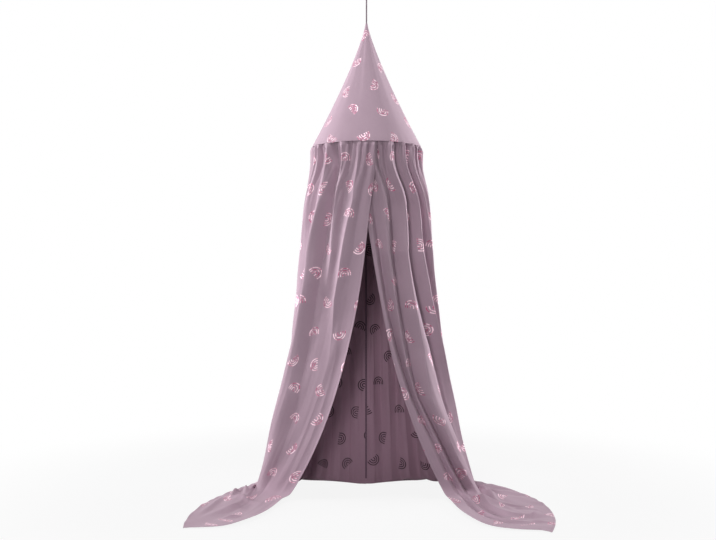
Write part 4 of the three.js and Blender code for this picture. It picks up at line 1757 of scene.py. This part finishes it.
    def gathers(self, t: np.ndarray, s: np.ndarray) -> np.ndarray:
        """Small folds that the sewing makes under the ring, alike in both layers; they die out downwards.

        Args:
            t: place across the panel, 0 at the back seam.
            s: place down the panel, 0 at the ring and 1 at the floor.

        Returns:
            Distance out of the bare sheet, in metres.
        """
        lap = math.asin(-self.cut.start)
        angle = ((1 - t) * (math.pi + lap) - lap) * self.cut.side
        count = (7.9 * angle - 1.3 * np.cos(angle) + 0.3 * np.sin(3.1 * angle + 1)
                 + 0.24 * np.sin(7.3 * angle + 2))
        strength = 0.8 + 0.3 * np.sin(5.3 * angle + 0.7) + 0.15 * np.sin(11.9 * angle)
        rise = 0.22 + 0.78 * smooth(0, 0.014, s)
        steep = np.abs(np.sin(math.pi * count))
        wave = 1 - 2 * steep ** 1.7 - 0.9 * steep ** 10
        pucker = np.sin(TURN * (2.07 * count + 0.4 * np.sin(3 * angle)))
        reach = 0.065 + 0.06 * np.sin(4.1 * angle + 0.5) ** 2
        fine = self.gather_height * wave * strength * np.exp(-s / reach)
        small = self.pucker_height * pucker * np.exp(-s / 0.022)
        return (fine + small) * rise * smooth(0.0, 0.02, t) - self.gather_inset * (1 - smooth(0, 0.010, s))

    def drape_noise(self, t: np.ndarray, s: np.ndarray) -> np.ndarray:
        """Faint upright ripples and slow dents of hanging cloth.

        Args:
            t: place across the panel, 0 at the back seam.
            s: place down the panel, 0 at the ring and 1 at the floor.

        Returns:
            Distance out of the bare sheet, in metres.
        """
        seed = self.cut.seed
        ripple = np.zeros(np.broadcast(t, s).shape)
        for cycles, size, lean in ((17, 0.9, 0.5), (26, 0.7, -0.9), (37, 0.5, 1.4), (53, 0.28, -2.0)):
            drift = lean * s + 0.35 * np.sin(TURN * 1.2 * s + cycles)
            ripple = ripple + size * np.sin(TURN * (cycles * t + drift) + seed * cycles)
        ripple = ripple * self.ripple_height * (0.45 + 0.55 * np.exp(-s / 0.3))
        dents = np.zeros_like(ripple)
        for across, down, size in ((3.1, 1.4, 1.0), (5.3, -2.3, 0.8), (7.9, 3.7, 0.5), (4.2, 5.6, 0.4)):
            bent = down * s + 0.2 * np.sin(TURN * across * 0.37 * t + across)
            dents = dents + size * np.sin(TURN * (across * t + bent) + seed + across)
        dents = dents * self.dent_height * smooth(0.03, 0.25, s)
        ends = smooth(0.0, 0.03, t) * (0.25 + 0.75 * smooth(0, 0.05, 1 - t))
        return (ripple + dents) * ends * (1 - 0.85 * self.lapping(t, s))

    def face(self, t: np.ndarray, length: np.ndarray) -> np.ndarray:
        """Points of the printed face.

        Args:
            t: place across, 0 at the back seam and 1 at the front edge.
            length: length down the sheet from the ring, the floor crease being at the ring's height.

        Returns:
            The points.
        """
        cut, levels = self.cut, self.levels
        t, length = np.broadcast_arrays(np.asarray(t, float), np.asarray(length, float))
        bend = self.bend(t)
        past = (length - levels.ring_height) / bend
        floor_run = bend * np.logaddexp(0, past)
        height = bend * np.logaddexp(0, -past)
        s = np.clip(1 - height / levels.ring_height, 0, 1)
        f = np.clip(floor_run / self.floor_length(t), 0, 1)
        out, back = self.level(t, s)
        step = 1 / 32
        before, after = self.level(np.maximum(t - step / 2, 0), s), self.level(np.minimum(t + step / 2, 1), s)
        run = np.hypot(after[0] - before[0], after[1] - before[1])
        along_out, along_back = (after[0] - before[0]) / run, (after[1] - before[1]) / run
        foot, hem = self.level(t, np.ones_like(t)), self.hem(t)
        peak = 1 / (1 + cut.bow_power)
        bow = levels.ring_radius * smooth(0.55, 1, t) * f * (1 - f) ** cut.bow_power
        bow = bow / (peak * (1 - peak) ** cut.bow_power)
        drift_out = (hem[0] - foot[0]) * f - cut.bow_in * bow
        drift_back = (hem[1] - foot[1]) * f - cut.bow_front * bow
        fold = self.fold(t, s)
        lying = smooth(-1, 2, past)
        apart = 0.001 + 0.003 * smooth(0, 0.03, s)
        push = fold + apart * cut.lap_sign * self.lapping(t, s)
        push = push + self.gathers(t, s) + self.drape_noise(t, s)
        push = push * (1 - lying)
        x = out + drift_out - along_back * push + self.seam_gap / 2
        y = back + drift_back + along_out * push
        x = x - (cut.side * self.edge_pull * smooth(0.6, 1, t) * smooth(0, 0.25, s)
                 * (1 - smooth(0.55, 0.95, s)))
        lift = self.lift(t)
        z = levels.floor_z + height + self.ledges(t, f, fold, lying, x * cut.side, y) + lift * smooth(0, 1, s)
        return np.stack([cut.side * x, y, z], -1)

    def lift(self, t: np.ndarray) -> np.ndarray:
        """Height of the face above the floor where the cloth lies flat."""
        cut = self.cut
        return cut.lift_back + (cut.lift_front - cut.lift_back) * smooth(0.42, 0.6, t)

    def ledges(self, t: np.ndarray, f: np.ndarray, fold: np.ndarray, lying: np.ndarray, x: np.ndarray,
               y: np.ndarray) -> np.ndarray:
        """Folds and creases of the tail, above the flat cloth.

        Args:
            t: place across the panel.
            f: place along the tail.
            fold: height of the folds that come down to it.
            lying: how far the cloth lies on the floor.
            x: place to the right.
            y: place to the back.

        Returns:
            Heights.
        """
        loose = smooth(0.28, 0.42, t)
        folds = 0.8 * np.maximum(fold + 0.018, 0) * (1 - f) ** 0.9
        soft = 0.0016 * (1 + np.sin(TURN * (5.3 * t + 1.7 * f) + self.cut.seed)) * (1 - f * 0.5)
        soft = soft + 0.0008 * (1 + np.sin(TURN * (13.1 * t - 2.9 * f) + 2 * self.cut.seed))
        hem_wave = self.hem_wave_height * smooth(0.8, 1.0, f) * (
            1 + np.sin(TURN * 17 * t + 2 * np.sin(TURN * 4 * t)))
        creases = sum(crease.lift(x, y) for crease in self.cut.creases)
        return (folds + np.maximum(soft + hem_wave + creases, 0)) * lying * loose

    def normal(self, t: np.ndarray, length: np.ndarray) -> np.ndarray:
        """Directions out of the face.

        Args:
            t: place across the panel, 0 at the back seam.
            length: length down the sheet from the ring.

        Returns:
            Unit directions.
        """
        reach = 0.0006
        across = (self.face(np.minimum(t + reach, 1), length) - self.face(np.maximum(t - reach, 0), length))
        down = self.face(t, length + reach) - self.face(t, np.maximum(length - reach, 0))
        return unit(np.cross(across, down)) * self.cut.side

    # The made piece

    def column_places(self) -> np.ndarray:
        """Places across the panel, closer together at the hemmed front edge.

        Returns:
            The places, from 0 to 1.
        """
        near = np.array(self.hem_steps) / self.flat_width
        wide = np.linspace(0, 1 - self.hem_room / self.flat_width, self.columns)
        return np.unique(np.concatenate([wide, 1 - near]))

    def row_lengths(self, t: np.ndarray) -> np.ndarray:
        """Lengths down the sheet of every row and column.

        Args:
            t: place of each column.

        Returns:
            Lengths, rows x columns.
        """
        bend = self.bend(t)[None]
        floor = self.floor_length(t)[None]
        top = self.levels.ring_height - 3 * bend
        shares = np.concatenate([np.linspace(0, 0.06, 40), np.linspace(0.06, 1, self.hang_rows)])
        shares = np.unique(shares)[:-1]
        hanging = shares[:, None] * top
        bending = self.levels.ring_height + np.linspace(-3, 3, self.bend_rows)[:, None] * bend
        near = np.array(self.hem_steps[::-1])[:, None]
        start = self.levels.ring_height + 3 * bend
        end = self.levels.ring_height + floor - 1e-5
        lying = start + np.linspace(0, 1, self.floor_rows)[1:, None] * (end - self.hem_room - start)
        return np.concatenate([hanging, bending, lying, end - near])

    def build(self) -> None:
        """Make the panel and its stitches."""
        cut = self.cut
        t = self.column_places()
        lengths = self.row_lengths(t)
        places_across = np.broadcast_to(t[None], lengths.shape)
        if cut.side > 0:
            lengths, places_across = lengths[:, ::-1], places_across[:, ::-1]
        points = self.face(places_across, lengths)
        steps = np.linalg.norm(np.diff(points[50:200], axis=1), axis=2).mean(0)
        widths = np.concatenate([[0], np.cumsum(steps)])
        normals = grid_normals(points)
        from_hem = lengths[-1][None] - lengths
        from_edge = (1 - places_across) * self.flat_width
        near = np.minimum(from_hem, from_edge)
        thick = self.thickness + (self.hem_thickness - self.thickness) * (1 - smooth(0.0105, 0.0125, near))
        round_off = 0.00032 * (1 - np.sqrt(np.clip(1 - (1 - np.clip(near / 0.0006, 0, 1)) ** 2, 0, 1)))
        dimple = 0.00022 * np.exp(-((near - self.hem_width + self.stitch_inset) / 0.0009) ** 2)
        points = points - normals * (round_off + dimple)[..., None]
        thick = thick - 2 * round_off
        places = np.stack([np.broadcast_to(widths, lengths.shape), lengths], -1)
        materials = [self.finishes[f"{cut.name}_face"], self.finishes[f"{cut.name}_back"]]
        cloth = thick_sheet(points, normals, thick, places).build(
            f"curtain_{cut.name}_cloth", materials, None, Slot.CLOTH)
        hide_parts(cut.node)
        stitches = self.stitches().build(
            f"curtain_{cut.name}_stitches", [self.finishes["thread"]], None, Slot.CLOTH)
        ring = self.levels.ring_z
        for piece in (cloth, stitches):
            ring - self.blend_height
            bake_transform(piece)
        mean_length = float((lengths[-1] - lengths[0]).mean())
        self.flat_width * mean_length

    def stitches(self) -> MeshParts:
        """Rows of stitches along the front edge and along the hem.

        Returns:
            One mesh of all the stitches.
        """
        inset = self.hem_width - self.stitch_inset
        ring, front = self.levels.ring_height, float(self.floor_length(np.array([1.0]))[0])
        rows = []
        t = np.full(2400, 1 - inset / self.flat_width)
        length = np.linspace(0.004, ring + front - inset, 2400)
        rows.append(self.sewn_row(t, length))
        t = np.linspace(0.004, 1 - inset / self.flat_width, 2000)
        rows.append(self.sewn_row(t, ring + self.floor_length(t) - inset))
        return joined(rows)

    def sewn_row(self, t: np.ndarray, length: np.ndarray) -> MeshParts:
        """Stitches along one line on the panel.

        Args:
            t: places across the panel.
            length: lengths down the sheet.

        Returns:
            The stitches.
        """
        line = self.face(t, length)
        run = lengths_along(line)
        sewing = Sewing()
        spots = np.linspace(0, run[-1], int(run[-1] / sewing.pitch) + 1)
        t, length = np.interp(spots, run, t), np.interp(spots, run, length)
        centres = self.face(t, length)
        normals = self.normal(t, length)
        return sewing.along(centres - normals * 0.0002, np.gradient(centres, axis=0), normals)


@dataclass
class BackSeam:
    """The tape down the inside of the seam that joins the panels."""

    levels: Levels
    finishes: Finishes
    width: float = 0.008
    thickness: float = 0.0009

    def build(self) -> None:
        """Make the tape and its stitches."""
        low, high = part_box("back_seam_tape")
        heights = np.linspace(high.z, low.z, 420)
        across = np.linspace(-1, 1, 13)
        height_grid, across_grid = np.meshgrid(heights, across, indexing="ij")
        drop = high.z - height_grid
        wave = 0.00012 * np.sin(drop * 260) + 0.0001 * np.sin(drop * 97)
        half = self.width / 2
        edge = 0.0002 * (np.abs(across_grid) > 0.9)
        y = low.y + 0.0001 + np.abs(wave) * np.abs(across_grid) + edge
        points = np.stack([across_grid * half * 0.98, y, height_grid], -1)
        places = np.stack([across_grid * half, drop], -1)
        normals = grid_normals(points)
        piece = thick_sheet(points, normals, self.thickness, places).build(
            "back_seam_tape_woven", [self.finishes["tape"]] * 2, Body.CANOPY, Slot.TAPE)
        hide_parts("back_seam_tape")
        rows = []
        for side in (-1, 1):
            line = np.stack([np.full(900, side * half * 0.6), np.full(900, low.y + 0.0001),
                             np.linspace(high.z - 0.002, low.z + 0.002, 900)], -1)
            rows.append(Sewing().on_path(line, lambda spots: np.broadcast_to([0.0, -1.0, 0.0], spots.shape)))
        joined(rows).build("back_seam_stitches", [self.finishes["thread"]], Body.CANOPY, Slot.TAPE)


LEFT_BACK = (0, 0.06, 0.12, 0.185, 0.25, 0.31, 0.37, 0.43, 0.49, 0.545, 0.60)
RIGHT_BACK = (0, 0.06, 0.12, 0.18, 0.24, 0.30, 0.36, 0.42, 0.475, 0.53)
CALM_TOP = (0, -5, 6, -6, 6, -6, 7, -7, 7, -8)
CALM_MIDDLE = (0, -6, 6, -8, 7, -9, 9, -12, 12, -14)
CALM_FOOT = (0, -8, 6, -12, 8, -14, 12, -18, 16, -20)

LEFT_PANEL = PanelCut(
    name="left", node="curtain_left_panel", body=Body.LEFT, side=-1, width_share=1.0,
    start=-0.187, linear=0.444, late=1.178, late_power=3, hem_back=2.42, hem_growth=1.32, hem_growth_from=68,
    hem_tip=127, hem_power=1.6, bow_in=0.09, bow_front=0.84, bow_power=1.3, lap_sign=1,
    lift_back=0.0009, lift_front=0.0011, ridge_power=2.2,
    profiles=fold_profiles(
        LEFT_BACK,
        (0.0, CALM_TOP, (0.65, 0.70, 0.75, 0.80, 0.845, 0.89, 0.945, 1.0),
         (8, -10, 9, -16, 7, -6, 1, 0, 0)),
        (0.16, CALM_MIDDLE, (0.68, 0.75, 0.81, 0.845, 0.88, 0.925, 0.955, 1.0),
         (16, -20, 15, -32, 5, -14, 8, -3, 3)),
        (0.3, CALM_MIDDLE, (0.675, 0.745, 0.807, 0.866, 0.89, 0.915, 0.957, 1.0),
         (18, -20, 21, -34, -7, -16, 6, -5, 6)),
        (0.43, CALM_MIDDLE, (0.675, 0.755, 0.805, 0.85, 0.875, 0.910, 0.935, 1.0),
         (20, -20, 25, -31, -36, -34, -4, -11, 8)),
        (0.6, CALM_FOOT, (0.67, 0.735, 0.82, 0.85, 0.88, 0.94, 0.965, 1.0),
         (24, -22, 27, -32, -30, -29, -17, -10, 12)),
        (0.83, CALM_FOOT, (0.66, 0.72, 0.86, 0.87, 0.885, 0.94, 0.97, 1.0),
         (24, -22, 28, -26, -26, -25, -14, -5, 12)),
        (1.0, CALM_FOOT, (0.65, 0.71, 0.875, 0.88, 0.89, 0.94, 0.97, 1.0),
         (24, -22, 28, -18, -18, -17, -10, -4, 8)),
    ),
    creases=(
        Crease(-0.545, 0.00, 84, 0.065, 0.011, 0.022),
        Crease(-0.503, 0.00, 96, 0.060, 0.010, 0.024),
        Crease(-0.490, -0.125, -33, 0.060, 0.011, 0.015),
        Crease(-0.455, 0.03, 60, 0.050, 0.012, 0.014),
        Crease(-0.520, -0.215, 20, 0.028, 0.009, 0.010),
        Crease(-0.515, -0.365, 30, 0.035, 0.010, 0.010),
        Crease(-0.612, -0.17, 78, 0.130, 0.016, 0.008),
        Crease(-0.575, -0.27, 62, 0.090, 0.022, 0.007),
    ),
    seed=1.3,
)

RIGHT_PANEL = PanelCut(
    name="right", node="curtain_right_panel", body=Body.RIGHT, side=1, width_share=1.03,
    start=-0.156, linear=0.978, late=0.653, late_power=4, hem_back=2.46, hem_growth=1.4, hem_growth_from=58,
    hem_tip=130.8, hem_power=1.2, bow_in=0.18, bow_front=0.93, bow_power=1.6, lap_sign=-1,
    lift_back=0.0020, lift_front=0.0012, ridge_power=1.9,
    profiles=fold_profiles(
        RIGHT_BACK,
        (0.0, CALM_TOP, (0.59, 0.63, 0.67, 0.71, 0.745, 0.79, 0.827, 0.875, 0.918, 0.965, 0.985, 1.0),
         (8, -10, 9, -11, 8, -12, 8, -9, 1, -1, 0, 0)),
        (0.16, CALM_MIDDLE, (0.59, 0.63, 0.67, 0.71, 0.745, 0.79, 0.827, 0.875, 0.918, 0.965, 0.985, 1.0),
         (16, -18, 15, -22, 15, -24, 14, -24, 10, -14, -2, -4)),
        (0.3, CALM_MIDDLE, (0.59, 0.635, 0.68, 0.73, 0.78, 0.835, 0.866, 0.907, 0.941, 0.968, 0.988, 1.0),
         (18, -20, 18, -26, 18, -28, 17, -28, 14, -24, 2, 0)),
        (0.43, CALM_MIDDLE, (0.59, 0.635, 0.68, 0.73, 0.775, 0.825, 0.871, 0.922, 0.942, 0.974, 0.989, 1.0),
         (20, -22, 20, -28, 21, -30, 19, -28, 13, -32, 6, 2)),
        (0.57, CALM_FOOT, (0.59, 0.635, 0.68, 0.715, 0.75, 0.80, 0.875, 0.923, 0.951, 0.971, 0.986, 1.0),
         (22, -22, 22, -26, 23, -28, 21, -30, 10, -34, 6, 2)),
        (0.71, CALM_FOOT, (0.59, 0.63, 0.67, 0.70, 0.73, 0.80, 0.905, 0.940, 0.953, 0.965, 0.980, 1.0),
         (24, -22, 24, -22, 24, -24, 23, -34, 2, -30, 6, 2)),
        (0.83, CALM_FOOT, (0.59, 0.63, 0.67, 0.70, 0.73, 0.80, 0.893, 0.917, 0.939, 0.952, 0.968, 1.0),
         (24, -18, 24, -14, 22, -14, 22, -34, 2, -16, 6, 2)),
        (1.0, CALM_FOOT, (0.59, 0.63, 0.67, 0.70, 0.73, 0.80, 0.885, 0.912, 0.935, 0.952, 0.968, 1.0),
         (24, -18, 24, -14, 22, -14, 22, -30, 6, -16, 6, 2)),
    ),
    creases=(
        Crease(0.430, -0.06, -70, 0.140, 0.013, 0.010),
        Crease(0.510, -0.23, -55, 0.085, 0.013, 0.014),
        Crease(0.505, -0.02, -80, 0.130, 0.013, 0.012),
        Crease(0.595, -0.20, -45, 0.080, 0.014, 0.009),
        Crease(0.605, -0.27, 10, 0.035, 0.010, 0.009),
        Crease(0.640, -0.33, 62, 0.035, 0.010, 0.008),
        Crease(0.600, -0.40, -25, 0.080, 0.012, 0.006),
    ),
    seed=2.9,
)


# Studio


@dataclass
class Studio:
    """Pale floor, white surroundings, soft lamps and the camera."""

    levels: Levels
    distance: float = 4.0
    focal: float = 48.27
    sensor: float = 36.0
    aim_x: float = -0.0354
    camera_z: float = -1.2465
    view_depth: float = 50.0
    world_strength: float = 0.14
    floor_reach: float = 14.0
    floor_fades: tuple[float, float] = (0.9, 2.2)
    floor_glow: float = 0.89

    def build(self) -> None:
        """Make the camera, lamps, world and floor."""
        bpy.context.scene.view_settings.view_transform = "Standard"
        self.camera()
        self.floor()
        self.world()
        self.lamp("left", (-2.6, 0.5, -1.3), aim=(0, 0, -0.2), size=1.3, power=37, spread=115)
        self.lamp("right", (2.6, 0.8, -1.3), aim=(0, 0, -0.2), size=1.0, power=42, spread=115)
        self.lamp("top", (-0.7, -1.0, 3.2), aim=(0, 0, -1.3), size=0.8, power=140)
        self.lamp("fill", (-0.9, -3.6, -1.5), aim=(0, 0, -1.2), size=0.9, power=32)

    def camera(self) -> None:
        """Level camera in front of the doorway."""
        data = bpy.data.cameras.new("camera")
        data.lens = self.focal
        data.sensor_width = self.sensor
        data.clip_end = self.view_depth
        camera = bpy.data.objects.new("camera", data)
        camera.location = (self.aim_x, -self.distance, self.camera_z)
        camera.rotation_euler = (math.pi / 2, 0, 0)
        bpy.context.scene.collection.objects.link(camera)
        bpy.context.scene.camera = camera

    def lamp(self, name: str, place: tuple[float, ...], aim: tuple[float, ...], size: float, power: float,
             spread: float = 180.0) -> None:
        """One soft area lamp that looks at a point.

        Args:
            name: its name.
            place: where it stands.
            aim: the point that it looks at.
            size: its diameter.
            power: its power in watts.
            spread: angle that a grid on it leaves open, in degrees; 180 is no grid.
        """
        data = bpy.data.lights.new(name, "AREA")
        data.shape = "DISK"
        data.size = size
        data.energy = power
        data.spread = math.radians(spread)
        lamp = bpy.data.objects.new(name, data)
        lamp.location = place
        way = np.array(place) - np.array(aim)
        tilt = math.acos(way[2] / np.linalg.norm(way))
        lamp.rotation_euler = (tilt, 0, math.atan2(way[1], way[0]) + math.pi / 2)
        bpy.context.scene.collection.objects.link(lamp)

    def unseen(self, sheet: NodeSheet) -> Socket:
        """1 for rays that show the background: from the camera, in gloss and through glass.

        Args:
            sheet: the node sheet.

        Returns:
            1 for those rays and 0 for the light on surfaces.
        """
        path = sheet.node("ShaderNodeLightPath").value.node
        seen = Socket(sheet, path.outputs["Is Camera Ray"])
        seen = seen.math("MAXIMUM", Socket(sheet, path.outputs["Is Glossy Ray"]))
        return seen.math("MAXIMUM", Socket(sheet, path.outputs["Is Transmission Ray"]))

    def floor(self) -> None:
        """A wide floor that keeps the shadow and is white in the distance."""
        mesh = bpy.data.meshes.new("floor")
        reach, z = self.floor_reach, self.levels.floor_z
        mesh.from_pydata([(-reach, -reach, z), (reach, -reach, z), (reach, reach, z), (-reach, reach, z)], [],
                         [(0, 1, 2, 3)])
        sheet = NodeSheet.of_material("floor_white")
        x, y, _ = sheet.split(sheet.place())
        far = (x * x + y * y).math("SQRT").step(*self.floor_fades)
        sheet.set(Base_Color=opaque(194, 193, 195), Roughness=0.85, Specular_IOR_Level=0.2)
        glow = sheet.node("ShaderNodeEmission", None, {"Color": (1, 1, 1, 1), "Strength": 1.0})
        share = (far * (1 - self.floor_glow) + self.floor_glow) * self.unseen(sheet)
        mixed = sheet.node("ShaderNodeMixShader", None, {0: share, 1: sheet.shader.outputs[0], 2: glow})
        sheet.plug(sheet.output.inputs["Surface"], mixed)
        mesh.materials.append(sheet.owner)
        floor = bpy.data.objects.new("floor", mesh)
        bpy.context.scene.collection.objects.link(floor)

    def world(self) -> None:
        """Plain surroundings: white to the camera, softer as light."""
        sheet = NodeSheet.of_world("surroundings")
        level = sheet.node("ShaderNodeMix", {"data_type": "FLOAT"},
                           {0: self.unseen(sheet), 2: self.world_strength, 3: 1.0})
        sheet.set(Color=(1, 1, 1, 1), Strength=level)
        bpy.context.scene.world = sheet.owner


def main() -> None:
    """Build the scene in order."""
    logging.basicConfig(level=logging.INFO, format="%(name)s %(message)s")
    levels = read_levels()
    Studio(levels).build()
    finishes = Finishes()
    finishes.build()
    Hanger(finishes).build()
    HoopAssembly(finishes).build()
    Cone(levels, finishes).build()
    for cut in (LEFT_PANEL, RIGHT_PANEL):
        CurtainPanel(cut, levels, finishes).build()
    BackSeam(levels, finishes).build()


if __name__ == "__main__":
    main()
